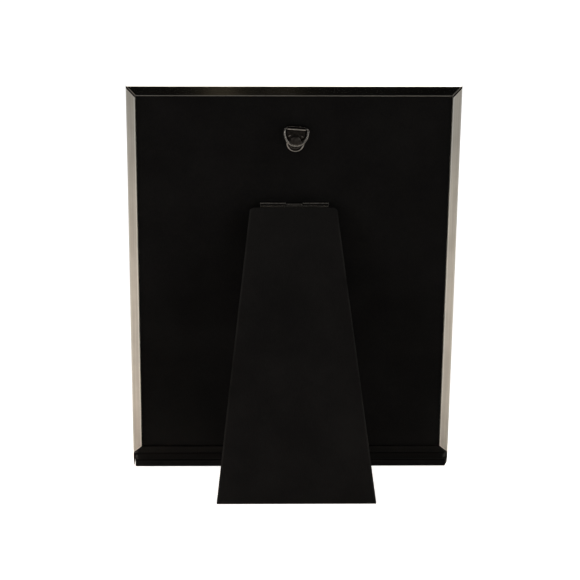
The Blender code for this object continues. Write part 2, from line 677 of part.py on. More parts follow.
def build_ring(parent, metal):
    curve = bpy.data.curves.new("hanger_ring", "CURVE")
    curve.dimensions = "3D"
    curve.bevel_depth = RING_WIRE_RADIUS
    curve.bevel_resolution = (WIRE_SIDES - 4) // 2
    points = ring_path()
    spline = curve.splines.new("POLY")
    spline.points.add(len(points) - 1)
    for point, (across, up) in zip(spline.points, points):
        point.co = (across, 0, up, 1)
    spline.use_cyclic_u = True
    ring = bpy.data.objects.new("hanger_ring", curve)
    bpy.context.collection.objects.link(ring)
    curve.materials.append(metal)
    ring.parent = parent


def spoken(vector):
    return tuple(round(value, 5) for value in vector)


def build():
    clear_scene()
    silver = make_material("polished_metal", (0.78, 0.75, 0.71), 0.16, 1.0)
    dark_metal = make_material("dark_metal", (0.20, 0.20, 0.21), 0.30, 1.0)
    steel = make_material("steel", (0.45, 0.45, 0.46), 0.35, 1.0)
    painted = make_material("black_paint", (0.012, 0.012, 0.012), 0.45, 0.0)
    rubber = make_material("black_rubber", (0.010, 0.010, 0.010), 0.80, 0.0)
    glass = make_material("clear_glass", (0.92, 0.96, 0.95), 0.03, 0.0)
    paper = make_material("insert_paper", (0.86, 0.84, 0.79), 0.75, 0.0)
    card = make_material("grey_card", (0.40, 0.37, 0.32), 0.90, 0.0)
    hardboard = make_material("brown_hardboard", (0.16, 0.09, 0.05), 0.85, 0.0)
    covering = make_material("black_covering", (0.010, 0.010, 0.010), 0.90, 0.0)

    frame = add_empty("frame_axes", None, (0, FRAME_SHIFT, FRAME_LIFT), (-LEAN, 0, 0))
    hinge_place = (HINGE_SIDEWAYS, HINGE_DEEP, HINGE_HEIGHT)
    hinge_back = add_empty("hinge_axis", frame, hinge_place, (0, 0, 0))
    leg = add_empty("leg_axis", frame, hinge_place, (LEG_OPEN_ANGLE, 0, 0))
    hanger_place = (HANGER_SIDEWAYS, HANGER_DEEP, HANGER_HEIGHT)
    hanger = add_empty("hanger_axis", frame, hanger_place, (0, -HANGER_TILT, 0))
    ring = add_empty("ring_axis", hanger, (0, 0, 0), (RING_HANG_ANGLE, 0, 0))

    bars = build_bars(frame, silver)
    build_corner_keys(frame, steel)
    build_base(frame, bars["bottom_bar"], painted, rubber, steel)
    build_stack(frame, glass, paper, card)
    build_back(frame, hanger, hardboard, covering, steel)
    build_hinge(hinge_back, leg, dark_metal)
    build_leg(leg, hardboard, covering)
    build_strap(hanger, dark_metal)
    build_ring(ring, dark_metal)

    bpy.context.view_layer.update()
    foot_deep = LEG_CORE_DEEP + LEG_CORE_THICKNESS / 2
    foot_across = LEG_FOOT_SIDEWAYS - HINGE_SIDEWAYS
    foot = leg.matrix_world @ Vector((foot_across, foot_deep, leg_end(foot_deep, 0)))
    print(f"outside {OUTER_WIDTH * 1000:.1f} x {OUTER_HEIGHT * 1000:.1f} x {BAR_DEPTH * 1000:.1f} mm")
    print(f"frame_axes at {spoken(frame.matrix_world.translation)}")
    print(f"leg foot at {spoken(foot)}")
    for empty in (leg, ring):
        axis = empty.matrix_world.to_3x3() @ Vector((1, 0, 0))
        print(f"{empty.name} at {spoken(empty.matrix_world.translation)} along {spoken(axis)}")


build()
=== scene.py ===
# Finished look of the standing photo frame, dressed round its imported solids.
import json
from math import atan2, cos, pi, radians, sin

import bmesh
import bpy
from mathutils import Matrix, Vector


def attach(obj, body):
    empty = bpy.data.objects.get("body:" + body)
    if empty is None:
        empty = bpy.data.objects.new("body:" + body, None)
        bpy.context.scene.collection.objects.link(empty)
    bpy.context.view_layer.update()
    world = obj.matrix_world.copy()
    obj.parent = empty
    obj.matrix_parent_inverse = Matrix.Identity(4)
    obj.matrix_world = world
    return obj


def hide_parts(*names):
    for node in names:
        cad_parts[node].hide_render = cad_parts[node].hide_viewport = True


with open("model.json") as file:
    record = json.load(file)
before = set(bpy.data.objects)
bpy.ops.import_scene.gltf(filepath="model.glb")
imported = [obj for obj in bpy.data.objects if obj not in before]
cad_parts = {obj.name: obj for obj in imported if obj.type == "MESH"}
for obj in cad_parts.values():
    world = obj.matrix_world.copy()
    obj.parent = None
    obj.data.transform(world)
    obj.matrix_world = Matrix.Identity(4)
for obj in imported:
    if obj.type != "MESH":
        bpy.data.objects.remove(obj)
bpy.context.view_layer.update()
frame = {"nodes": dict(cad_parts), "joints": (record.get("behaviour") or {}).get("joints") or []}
nodes = frame["nodes"]
print("solids loaded")

# directions and places, all taken from the joints
joints = {joint["name"]: joint for joint in frame["joints"]}
pullLine = Vector(joints["back_pull"]["axis"])
hingeAt = Vector(joints["leg_fold"]["pos_m"])
ringAt = Vector(joints["ring_swing"]["pos_m"])
ringLine = Vector(joints["ring_swing"]["axis"])
openAngle = -radians(joints["leg_fold"]["range_deg"][0])
lean = atan2(-pullLine.z, pullLine.y)
tilt = atan2((ringLine.y ** 2 + ringLine.z ** 2) ** 0.5, ringLine.x)
panelTurn = Matrix.Rotation(-lean, 4, "X")
legTurn = Matrix.Rotation(openAngle - lean, 4, "X")
hangerTurn = panelTurn @ Matrix.Rotation(-tilt, 4, "Y")
ringTurn = hangerTurn @ Matrix.Rotation(atan2(sin(lean), cos(lean) * cos(tilt)), 4, "X")

mergeWithin = 0.000002  # corners closer than this become one
sameSpot = 1e-7  # places closer than this count as the same


def boxAlong(way, *names):  # lowest and highest corner of solids along turned directions
    back = way.inverted()
    points = [back @ vertex.co for name in names for vertex in nodes[name].data.vertices]
    lows = Vector([min(point[axis] for point in points) for axis in range(3)])
    highs = Vector([max(point[axis] for point in points) for axis in range(3)])
    return lows, highs


barsLow, barsHigh = boxAlong(panelTurn, "top_bar", "bottom_bar", "left_bar", "right_bar")
barsSize = barsHigh - barsLow


class Wire:  # an output socket of a material's nodes; sums on it add Math nodes
    def __init__(self, tree, socket=None):
        self.tree = tree
        self.socket = socket

    def node(self, kind, settings={}, inputs={}, output=0):
        made = self.tree.nodes.new("ShaderNode" + kind)
        for key, value in settings.items():
            setattr(made, key, value)
        for key, value in inputs.items():
            if isinstance(value, Wire):
                self.tree.links.new(value.socket, made.inputs[key])
            else:
                made.inputs[key].default_value = value
        return Wire(self.tree, made.outputs[output] if made.outputs else None)

    def parts(self):  # X, Y and Z of a vector
        split = self.node("SeparateXYZ", {}, {"Vector": self})
        outputs = split.socket.node.outputs
        return [Wire(self.tree, outputs[letter]) for letter in "XYZ"]

    def sums(self, operation, *values):
        return self.node("Math", {"operation": operation}, dict(enumerate(values)))

    def __add__(self, other):
        return self.sums("ADD", self, other)

    def __sub__(self, other):
        return self.sums("SUBTRACT", self, other)

    def __rsub__(self, other):
        return self.sums("SUBTRACT", other, self)

    def __mul__(self, other):
        return self.sums("MULTIPLY", self, other)

    def __abs__(self):
        return self.sums("ABSOLUTE", self)

    __radd__ = __add__
    __rmul__ = __mul__

    def least(self, other):
        return self.sums("MINIMUM", self, other)

    def step(self, low, high):  # 0 below low, 1 above high, smooth between
        spans = {"Value": self, "From Min": low, "From Max": high}
        return self.node("MapRange", {"interpolation_type": "SMOOTHSTEP"}, spans)

    def between(self, first, second):  # two colours mixed by this value
        colours = [(*c, 1.0) if isinstance(c, tuple) else c for c in (first, second)]
        inputs = {0: self, 6: colours[0], 7: colours[1]}
        return self.node("Mix", {"data_type": "RGBA"}, inputs, 2)

    def noise(self, scale, detail=2.0, rough=0.5):  # a pattern on these coordinates
        inputs = {"Vector": self, "Scale": scale, "Detail": detail, "Roughness": rough}
        return self.node("TexNoise", {}, inputs)

    def bump(self, distance, under=None):  # this value as a height
        inputs = {"Height": self, "Distance": distance, "Strength": 1.0}
        if under:
            inputs["Normal"] = under
        return self.node("Bump", {}, inputs)


def startMaterial(name):
    material = bpy.data.materials.new(name)
    material.use_nodes = True
    material.node_tree.nodes.clear()
    return material, Wire(material.node_tree).node("TexCoord", {}, {}, "Object")


def aligned(coords, turn=(0, 0, 0), size=(1, 1, 1), place=(0, 0, 0)):
    inputs = {"Vector": coords, "Location": place, "Rotation": turn, "Scale": size}
    return coords.node("Mapping", {"vector_type": "TEXTURE"}, inputs)


def finished(material, look, colour, uneven, height, under=None, rougher=0, metallic=0.0):
    shader = colour.node("BsdfPrincipled", {}, {
        "Base Color": colour, "Roughness": (uneven - 0.5) * look["roughSpread"] + (look["rough"] + rougher),
        "Metallic": metallic, "Specular IOR Level": look.get("shine", 0.5),
        "Normal": height.bump(look["height"], under)})
    colour.node("OutputMaterial", {}, {"Surface": shader})
    return material


# finishes, each with its values in one dictionary; the Size of a pattern is a noise scale
panelAngle = (-lean, 0, 0)
legAngle = (openAngle - lean, 0, 0)
hangerAngle = tuple(hangerTurn.to_euler())

metalLook = {
    "light": (0.68, 0.655, 0.6), "dark": (0.56, 0.535, 0.485), "toneRange": (0.35, 0.65),
    "lineShare": 0.55, "lineLength": 0.06, "lineWidth": 0.0011, "height": 0.000006,
    "stainShare": 0.45, "stainSize": 55.0, "waveSize": 28.0, "waveHeight": 0.00006,
    "rough": 0.09, "roughSpread": 0.05, "seam": (0.06, 0.057, 0.052), "seamRange": (0.00012, 0.00042),
    "edgeHighlight": (0.83, 0.83, 0.785), "edgeHighlightRange": (0.0002, 0.0012), "backRange": (0.004, 0.006),
    # the mitre shares make shaded and lit copies of the metal for the mitres' chamfers: painted shade and
    # painted highlight
    "mitrePaintedShade": 0.3, "mitrePaintedDeepShade": 0.12, "mitreBright": 1.4}


def onBars(coords):  # across from the bars' middle, deep behind their front, up from their foot
    across, deep, up = aligned(coords, panelAngle).parts()
    return abs(across - (barsLow.x + barsHigh.x) / 2), deep - barsLow.y, up - barsLow.z


def offSeam(coords):  # 0 on the four mitre joints, 1 beside them
    across, _, up = onBars(coords)
    half = barsSize.x / 2
    toTop = abs(across - up + (barsSize.z - half))
    return toTop.least(abs(across + up - half)).step(*metalLook["seamRange"])


def paintedEdgeHighlights(coords):  # 1 along both edges of the upright bars' backs, where a paler metal is painted on as a highlight
    across, deep, _ = onBars(coords)
    fromOutside = barsSize.x / 2 - across
    fromEdge = fromOutside.least(barSizes["width"] - fromOutside)
    behind = deep.step(*metalLook["backRange"])
    return behind - behind * fromEdge.step(*metalLook["edgeHighlightRange"])


def polishedMetal(name, upright, share=1.0):  # a share of its brightness for the mitres' chamfers: darker copies are painted shade, a brighter copy is painted highlight
    look = metalLook
    dark, light = [tuple(part * share for part in look[key]) for key in ("dark", "light")]
    long, thin = look["lineLength"], look["lineWidth"]
    size = (thin, thin, long) if upright else (long, thin, thin)
    material, coords = startMaterial("polishedMetal" + name)
    lines = aligned(coords, panelAngle, size).noise(1.0, 3.0)
    stains = coords.noise(look["stainSize"], 3.0)
    waves = coords.noise(look["waveSize"], 1.0).bump(look["waveHeight"])
    tone = lines * look["lineShare"] + stains * look["stainShare"]
    colour = tone.step(*look["toneRange"]).between(dark, light)
    if share == 1.0:
        if upright:
            colour = paintedEdgeHighlights(coords).between(colour, look["edgeHighlight"])
        colour = offSeam(coords).between(look["seam"], colour)
    return finished(material, look, colour, stains, lines, waves, metallic=1.0)


paintLook = {
    "black": (0.0024, 0.0023, 0.0022), "dust": (0.0062, 0.0058, 0.0054), "dustSize": 1400.0,
    "dustRange": (0.62, 0.74), "dustShare": 0.6, "cloudSize": 40.0, "cloudShare": 0.3,
    "rough": 0.42, "roughSpread": 0.16, "shine": 0.08, "peelSize": 900.0, "height": 0.00003,
    "edgeHighlight": (0.12, 0.115, 0.108), "edgeHighlightSize": 420.0, "edgeHighlightRange": (0.42, 0.66),
    "endRange": (0.1035, 0.107), "deepRange": (0.004, 0.0088)}


def blackPaint():  # a lighter grey painted highlight at the rear corners of the rail's ends
    look = paintLook
    material, coords = startMaterial("satinBlackPaint")
    peel = coords.noise(look["peelSize"], 1.0)
    cloud = coords.noise(look["cloudSize"], 3.0)
    dust = coords.noise(look["dustSize"]).step(*look["dustRange"])
    tone = dust * look["dustShare"] + cloud * look["cloudShare"]
    across, deep, _ = onBars(coords)
    edgeHighlight = across.step(*look["endRange"]) * deep.step(*look["deepRange"])
    edgeHighlight = edgeHighlight * coords.noise(look["edgeHighlightSize"], 3.0).step(*look["edgeHighlightRange"])
    colour = edgeHighlight.between(tone.between(look["black"], look["dust"]), look["edgeHighlight"])
    return finished(material, look, colour, cloud, peel)


rubberLook = {
    "black": (0.0056, 0.0054, 0.0053), "worn": (0.0115, 0.011, 0.0105), "wearSize": 120.0,
    "wearRange": (0.5, 0.8), "wearShare": 0.7, "grainShare": 0.3, "rough": 0.85, "roughSpread": 0.2,
    "shine": 0.1, "grainSize": 1600.0, "height": 0.00005}


def blackRubber():
    look = rubberLook
    material, coords = startMaterial("blackRubber")
    grain = coords.noise(look["grainSize"], 4.0, 0.7)
    wearAndHighlight = coords.noise(look["wearSize"], 4.0).step(*look["wearRange"])
    colour = (wearAndHighlight * look["wearShare"] + grain * look["grainShare"]).between(look["black"], look["worn"])
    return finished(material, look, colour, grain, grain)


coveringLook = {  # panel and leg as (black, nap), the leg's pair a lighter, lit copy of the same covering: painted light; painted highlights lie along the leg's long edges and painted light at its top
    "panel": ((0.0057, 0.0055, 0.0054), (0.01, 0.0096, 0.0093)),
    "leg": ((0.0067, 0.0064, 0.0063), (0.0116, 0.0111, 0.0107)),
    "grainSize": 1500.0, "grainShare": 0.3, "height": 0.00007, "cloudSize": 26.0, "cloudShare": 0.45,
    "fibreLength": 0.003, "fibreWidth": 0.00035, "fibreShare": 0.25, "toneRange": (0.36, 0.66),
    "rough": 0.88, "roughSpread": 0.12, "shine": 0.04, "paintedEdgeLight": (0.022, 0.021, 0.02),
    "edgeLightFrom": 0.0016, "edgeLightFull": 0.0004, "edgeLightRange": (0.3, 0.6), "edgeLightShare": 0.6,
    "topLightReach": 0.075, "topLightShare": 0.22}


# the painted light on the leg: highlights along its long edges, and lighter towards its top
def legPaintedLight(local, clouds):
    sizes, look = legSizes, coveringLook
    low, high = boxAlong(legTurn, "leg_inner_cover")
    slope, drift = legTaper(high.z - low.z)
    across, _, up = local.parts()
    down = high.z - up
    side = abs(across - sizes["topSideways"] - down * drift) - down * slope
    half = sizes["topWidth"] / 2
    edge = side.step(half - look["edgeLightFrom"], half - look["edgeLightFull"]) * clouds.step(*look["edgeLightRange"])
    return edge * look["edgeLightShare"] + (1 - down.step(0.0, look["topLightReach"])) * look["topLightShare"]


def blackCovering(name, angle, kind):
    look = coveringLook
    material, coords = startMaterial("blackCovering" + name)
    local = aligned(coords, angle)
    grain = local.noise(look["grainSize"], 3.0, 0.6)
    width = look["fibreWidth"]
    fibres = aligned(local, (0, 0, 0), (width, width, look["fibreLength"])).noise(1.0)
    clouds = local.noise(look["cloudSize"], 4.0, 0.6)
    tone = grain * look["grainShare"] + fibres * look["fibreShare"] + clouds * look["cloudShare"]
    colour = tone.step(*look["toneRange"]).between(*look[kind])
    if kind == "leg":
        colour = legPaintedLight(local, clouds).between(colour, look["paintedEdgeLight"])
    return finished(material, look, colour, clouds, grain + fibres * 0.5)


gunmetalLook = {  # the four kinds as (dull, clean); the highlight tone is a painted highlight, a paler, less metallic and rougher metal where the attribute asks
    "hinge": ((0.034, 0.031, 0.028), (0.062, 0.057, 0.053)),
    # the strap's pair is darkest: painted shade, standing in for the dark reflection on its flat plate
    "strap": ((0.012, 0.011, 0.01), (0.026, 0.023, 0.021)),
    "ring": ((0.09, 0.086, 0.08), (0.17, 0.163, 0.153)),
    "rivet": ((0.045, 0.04, 0.037), (0.068, 0.062, 0.056)),
    "toneRange": (0.38, 0.62), "highlightTone": (0.46, 0.43, 0.39), "highlightMetallic": 0.55, "highlightRough": 0.12,
    "highlightLeast": 0.75, "highlightSpread": 0.4, "rough": 0.2, "rivetRough": 0.22, "roughSpread": 0.16,
    "tarnishSize": 700.0, "grainSize": 5200.0, "height": 0.000004}


def gunmetal(name, angle, kind):  # painted highlights show where the mesh's own attribute says so
    look = gunmetalLook
    material, coords = startMaterial("darkMetal" + name)
    local = aligned(coords, angle)
    tarnish = local.noise(look["tarnishSize"], 4.0, 0.6)
    grain = local.noise(look["grainSize"])
    wearAndHighlight = coords.node("Attribute", {"attribute_name": "wearAndHighlight"}, {}, "Fac")
    wearAndHighlight = wearAndHighlight * (tarnish * look["highlightSpread"] + look["highlightLeast"])
    colour = wearAndHighlight.between(tarnish.step(*look["toneRange"]).between(*look[kind]), look["highlightTone"])
    rougher = wearAndHighlight * look["highlightRough"] + (look["rivetRough"] if kind == "rivet" else 0)
    metallic = 1 - wearAndHighlight * (1 - look["highlightMetallic"])
    return finished(material, look, colour, tarnish, grain + tarnish * 0.6, None, rougher, metallic)


steelLook = {
    "dark": (0.36, 0.36, 0.37), "light": (0.52, 0.52, 0.51), "toneRange": (0.25, 0.85), "toneShare": 0.6,
    "spangleSize": 700.0, "grainSize": 2400.0, "height": 0.00001, "rough": 0.345, "roughSpread": 0.25}


def plainSteel():
    look = steelLook
    material, coords = startMaterial("zincPlatedSteel")
    spangle = coords.node("TexVoronoi", {}, {"Vector": coords, "Scale": look["spangleSize"]}, "Distance")
    grain = coords.noise(look["grainSize"], 3.0)
    tone = (spangle + grain) * look["toneShare"]
    colour = tone.step(*look["toneRange"]).between(look["dark"], look["light"])
    return finished(material, look, colour, grain, grain, metallic=1.0)


boardLook = {  # both kinds as (dark, light, width of a fibre)
    "brownHardboard": ((0.085, 0.046, 0.024), (0.2, 0.115, 0.062), 0.0006),
    "greyCard": ((0.33, 0.3, 0.26), (0.44, 0.41, 0.36), 0.0005),
    "fibreShare": 0.6, "speckShare": 0.4, "speckSize": 900.0, "toneRange": (0.36, 0.64),
    "rough": 0.855, "roughSpread": 0.15, "shine": 0.25, "height": 0.00006}


def fibreBoard(name):
    look = boardLook
    dark, light, size = look[name]
    material, coords = startMaterial(name)
    fibres = aligned(coords, panelAngle, (size * 5, size, size * 2)).noise(1.0, 4.0, 0.65)
    specks = coords.noise(look["speckSize"], 3.0, 0.7)
    tone = fibres * look["fibreShare"] + specks * look["speckShare"]
    colour = tone.step(*look["toneRange"]).between(dark, light)
    return finished(material, look, colour, specks, fibres + specks)


insertLook = {
    "paper": (0.84, 0.82, 0.78), "shade": (0.79, 0.77, 0.73), "line": (0.46, 0.43, 0.38),
    "lineInset": 0.015, "lineRange": (0.000315, 0.000585), "fibreSize": 1300.0, "cloudSize": 60.0,
    "toneRange": (0.38, 0.62), "rough": 0.73, "roughSpread": 0.1, "shine": 0.3, "height": 0.00003}


def insertPaper():  # a bare sheet with one thin printed border line
    look = insertLook
    lows, highs = boxAlong(panelTurn, "photo_insert")
    material, coords = startMaterial("barePictureInsert")
    local = aligned(coords, panelAngle, (1, 1, 1), tuple(panelTurn @ ((lows + highs) / 2)))
    across, _, up = local.parts()
    inset = ((highs.x - lows.x) / 2 - abs(across)).least((highs.z - lows.z) / 2 - abs(up))
    offLine = abs(inset - look["lineInset"]).step(*look["lineRange"])
    fibres = local.noise(look["fibreSize"], 4.0, 0.7)
    clouds = local.noise(look["cloudSize"], 3.0)
    paper = ((fibres + clouds) * 0.5).step(*look["toneRange"]).between(look["shade"], look["paper"])
    colour = offLine.between(look["line"], paper)
    return finished(material, look, colour, fibres, fibres)


glassLook = {
    "tint": (0.955, 0.985, 0.97, 1.0), "rough": 0.012, "smearRough": 0.03, "smearSize": 22.0,
    "smearRange": (0.5, 0.9), "bends": 1.5}


def clearGlass():
    look = glassLook
    material, coords = startMaterial("clearGlass")
    smears = coords.noise(look["smearSize"], 4.0, 0.6).step(*look["smearRange"])
    pane = coords.node("BsdfPrincipled", {}, {
        "Base Color": look["tint"], "Roughness": smears * look["smearRough"] + look["rough"],
        "Transmission Weight": 1.0, "IOR": look["bends"]})
    seeThrough = coords.node("BsdfTransparent", {}, {"Color": look["tint"]})
    shadowRay = coords.node("LightPath", {}, {}, "Is Shadow Ray")
    mixed = coords.node("MixShader", {}, {0: shadowRay, 1: pane, 2: seeThrough})
    coords.node("OutputMaterial", {}, {"Surface": mixed})
    return material


def inScene(name, data):
    made = bpy.data.objects.new(name, data)
    bpy.context.scene.collection.objects.link(made)
    return made


def objectFrom(name, bm):
    mesh = bpy.data.meshes.new(name)
    bm.to_mesh(mesh)
    bm.free()
    return inScene(name, mesh)


def shapeOf(holder):  # as its settings and modifiers make it; the object itself goes
    mesh = bpy.data.meshes.new_from_object(holder.evaluated_get(bpy.context.evaluated_depsgraph_get()))
    bpy.data.objects.remove(holder)
    bm = bmesh.new()
    bm.from_mesh(mesh)
    return bm


def merge(bm):
    bmesh.ops.remove_doubles(bm, verts=bm.verts, dist=mergeWithin)


def faceOutwards(bm):
    bmesh.ops.recalc_face_normals(bm, faces=bm.faces)


def addPiece(name, bm, body, materials, replaced=(), place=None, angle=40.0, wearAndHighlight=None):
    merge(bm)
    faceOutwards(bm)
    if wearAndHighlight:  # how much painted highlight each point gets, from its place on the piece
        layer = bm.verts.layers.float.new("wearAndHighlight")
        for vertex in bm.verts:
            vertex[layer] = wearAndHighlight(vertex.co)
    if place is not None:
        bmesh.ops.transform(bm, matrix=place, verts=bm.verts)
    piece = objectFrom(name, bm)
    for material in materials:
        piece.data.materials.append(material)
    piece.data.shade_smooth()
    piece.data.set_sharp_from_angle(angle=radians(angle))
    piece.modifiers.new("flats", "WEIGHTED_NORMAL").keep_sharp = True
    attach(piece, body)
    if replaced:
        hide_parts(*replaced)


def sheetFrom(bm, thickness, edge, angle):  # a surface given its thickness, with finely rounded edges
    holder = objectFrom("sheet", bm)
    wall = holder.modifiers.new("wall", "SOLIDIFY")
    wall.thickness, wall.offset, wall.use_even_offset = thickness, 0.0, True
    rim = holder.modifiers.new("rim", "BEVEL")
    rim.width, rim.segments, rim.limit_method, rim.angle_limit = edge, 2, "ANGLE", radians(angle)
    return shapeOf(holder)


def vertsIn(made):
    return [part for part in made["geom"] if isinstance(part, bmesh.types.BMVert)]


def edgesIn(made, key="geom"):
    return [part for part in made[key] if isinstance(part, bmesh.types.BMEdge)]


def endsOf(edges):  # each once, in order
    return list(dict.fromkeys(vertex for edge in edges for vertex in edge.verts))


def runOf(bm, points, closed=False):  # bare edges from point to point
    verts = [bm.verts.new(point) for point in points]
    ends = verts[1:] + verts[:1] if closed else verts[1:]
    return [bm.edges.new(pair) for pair in zip(verts, ends)]


def faceOf(bm, points):  # one flat face; gives its corners
    verts = [bm.verts.new(point) for point in points]
    bm.faces.new(verts)
    return verts


def rounded(bm, geom, offset, segments, affect="EDGES"):
    bmesh.ops.bevel(
        bm, geom=geom, offset=offset, segments=segments, profile=0.5, affect=affect, material=-1)


def drawOut(bm, way):  # the faces so far made a solid
    made = bmesh.ops.extrude_face_region(bm, geom=bm.faces[:])
    bmesh.ops.translate(bm, verts=vertsIn(made), vec=way)
    faceOutwards(bm)


def drawEdges(bm, edges, way):  # gives the far side's edges
    made = bmesh.ops.extrude_edge_only(bm, edges=edges)
    moved = vertsIn(made)
    bmesh.ops.translate(bm, verts=moved, vec=way)
    fresh = set(moved)
    return [edge for edge in edgesIn(made) if fresh.issuperset(edge.verts)]


def spinEdges(bm, edges, middle, axis, angle, steps, full=False):
    bmesh.ops.spin(
        bm, geom=endsOf(edges) + edges, cent=middle, axis=axis, angle=angle, steps=steps,
        use_merge=full, use_duplicate=False)


def turn(bm, angle, axis):
    bmesh.ops.rotate(bm, verts=bm.verts, cent=(0, 0, 0), matrix=Matrix.Rotation(angle, 3, axis))


def cutOff(bm, place, facing):  # takes off what lies beyond a plane and gives the rim of the cut
    cut = bmesh.ops.bisect_plane(
        bm, geom=bm.verts[:] + bm.edges[:] + bm.faces[:], clear_outer=True, plane_co=place, plane_no=facing)
    return edgesIn(cut, "geom_cut")


def cutFlat(bm, place, facing):  # the same, with the cut closed
    return bmesh.ops.contextual_create(bm, geom=cutOff(bm, place, facing))["faces"]


def smoothShare(value, low, high):
    share = min(1.0, max(0.0, (value - low) / (high - low)))
    return share * share * (3 - 2 * share)


def bandShare(value, low, lowFull, highFull, high):  # 1 within a band, fading to 0 on both sides of it
    return smoothShare(value, low, lowFull) * (1 - smoothShare(value, highFull, high))


# the four metal bars
barSizes = {
    "width": 0.0058, "lip": 0.0052, "lipThick": 0.0012, "land": 0.00016, "slope": 0.0018, "wall": 0.001,
    "mitreGap": 0.0001, "rounding": 0.00012, "roundingSteps": 3, "endChamfer": 0.001, "chamferPitch": 0.5}


def barOutside(length, depth):  # along X, the outer side at z 0, open at both mitres
    sizes = barSizes
    face = sizes["width"] + sizes["lip"]
    foot = depth - sizes["slope"]
    reach = (length - sizes["mitreGap"]) / 2
    outline = [
        (0, 0), (face, 0), (face, sizes["lipThick"]), (sizes["width"], sizes["lipThick"]),
        (sizes["width"], depth), (sizes["width"] - sizes["land"], depth), (0, foot)]
    bm = bmesh.new()
    corners = faceOf(bm, [(-length / 2, deep, -inwards) for inwards, deep in outline])
    rounded(bm, corners, sizes["rounding"], sizes["roundingSteps"], "VERTICES")
    drawOut(bm, (length, 0, 0))
    outwards = Vector((0, 1, sizes["slope"] / sizes["width"])).normalized()
    for side in (-1, 1):
        mitre = Vector((side, 0, -1)).normalized()
        mitreAt = Vector((side * reach, 0, 0))
        cutFlat(bm, mitreAt, mitre)
        chamferAt = (side * (reach - sizes["endChamfer"]), foot, 0)
        cutFlat(bm, chamferAt, mitre * sizes["chamferPitch"] + outwards)
        caps = [
            found for found in bm.faces
            if all(abs((vertex.co - mitreAt).dot(mitre)) < sameSpot for vertex in found.verts)]
        bmesh.ops.delete(bm, geom=caps, context="FACES_ONLY")
    return bm


def hollowBar(length, depth):
    sizes = barSizes
    reach = (length - sizes["mitreGap"]) / 2
    near, far = sizes["wall"], sizes["width"] - sizes["wall"]
    end = depth - sizes["slope"] - near
    hollow = [(near, near), (far, near), (far, end), (near, end)]
    inside = bmesh.new()
    edges = runOf(inside, [(-length / 2, deep, -inwards) for inwards, deep in hollow], True)
    drawEdges(inside, edges, (length, 0, 0))
    for side in (-1, 1):
        cutOff(inside, (side * reach, 0, 0), (side, 0, -1))
    mesh = bpy.data.meshes.new("inside")
    inside.to_mesh(mesh)
    inside.free()
    bm = barOutside(length, depth)
    bm.from_mesh(mesh)
    bpy.data.meshes.remove(mesh)
    for side in (-1, 1):
        ends = [edge for edge in bm.edges if edge.is_boundary and edge.verts[0].co.x * side > 0]
        bmesh.ops.bridge_loops(bm, edges=ends)
    faceOutwards(bm)
    return bm


def makeBars(darkReflectionPaint):
    across, upright = polishedMetal("Across", False), polishedMetal("Upright", True)
    shadedMitre, deepShadedMitre, litMitre = [
        polishedMetal("Mitre" + kind, kind != "PaintedShade", metalLook["mitre" + kind])
        for kind in ("PaintedShade", "PaintedDeepShade", "Bright")]
    middle = (barsLow + barsHigh) / 2
    front = barsLow.y
    sides = [  # side, length, place, angle, and the metals of the bar and of its two ends' chamfers
        ("top", barsSize.x, (middle.x, front, barsHigh.z), 0.0, across, shadedMitre, shadedMitre),
        ("right", barsSize.z, (barsHigh.x, front, middle.z), pi / 2, upright, deepShadedMitre, litMitre),
        ("bottom", barsSize.x, (middle.x, front, barsLow.z), pi, across, darkReflectionPaint, darkReflectionPaint),
        ("left", barsSize.z, (barsLow.x, front, middle.z), -pi / 2, upright, litMitre, deepShadedMitre)]
    for side, length, place, angle, *metals in sides:
        bm = hollowBar(length, barsSize.y)
        for found in bm.faces:
            centre = found.calc_center_median()
            if abs(found.normal.x) > 0.2 and found.normal.y > 0.5:  # the chamfers at the mitres
                found.material_index = 1 if centre.x < 0 else 2
            elif side == "bottom" and centre.y > barSizes["lipThick"] * 2:
                # painted dark reflection: the bottom bar's back takes the black paint in place of the shaded
                # floor it reflects
                found.material_index = 1  # all of it behind the lip is black in the photograph
        position = panelTurn @ Matrix.Translation(place) @ Matrix.Rotation(angle, 4, "Y")
        addPiece(f"{side}BarMetal", bm, "frame", metals, [f"{side}_bar"], position)
    print("bars made")


# the easel leg
legSizes = {
    "topWidth": 0.0566, "footWidth": 0.1032, "topDrop": 0.0025, "topSideways": -0.0001,
    "footSideways": -0.0017, "cornerRadius": 0.0025, "cornerSteps": 8, "edgeRounding": 0.0006, "edgeSteps": 4,
    "wrapWall": 0.0003, "wrapLift": 0.0003, "coreRoom": 0.00004, "coreRadius": 0.002, "coreRounding": 0.0002,
    "liningInset": 0.0035, "liningThick": 0.00012, "liningRadius": 0.003, "pastFoot": 0.01}


def legTaper(length):  # how much it widens to each side, and drifts sideways, for each metre down
    sizes = legSizes
    widens = (sizes["footWidth"] - sizes["topWidth"]) / 2 / length
    return widens, (sizes["footSideways"] - sizes["topSideways"]) / length


def legShape(inset, length):  # (sideways, up) of the leg's four corners, inset all round but at the foot
    sizes = legSizes
    slope, drift = legTaper(length)
    middle = sizes["topSideways"] - hingeAt.x
    foot = length + sizes["pastFoot"]
    corners = []
    for side, down in ((-1, inset), (1, inset), (1, foot), (-1, foot)):
        half = sizes["topWidth"] / 2 + slope * down - inset * (1 + slope ** 2) ** 0.5
        corners.append((middle + drift * down + side * half, -sizes["topDrop"] - down))
    return corners


def legSlab(inset, length, near, far, radius, rounding=0, steps=1):
    bm = bmesh.new()
    corners = faceOf(bm, [(across, near, up) for across, up in legShape(inset, length)])
    rounded(bm, corners[:2], radius, legSizes["cornerSteps"], "VERTICES")
    drawOut(bm, (0, far - near, 0))
    if rounding:
        flat = [found for found in bm.faces if abs(found.normal.y) > 0.9]
        rounded(bm, [edge for found in flat for edge in found.edges], rounding, steps)
    return bm


def cutAtTable(bm, place, lift):  # in world directions; leaves the foot flat
    bmesh.ops.transform(bm, matrix=place, verts=bm.verts)
    return cutFlat(bm, (0, 0, lift), (0, 0, -1))


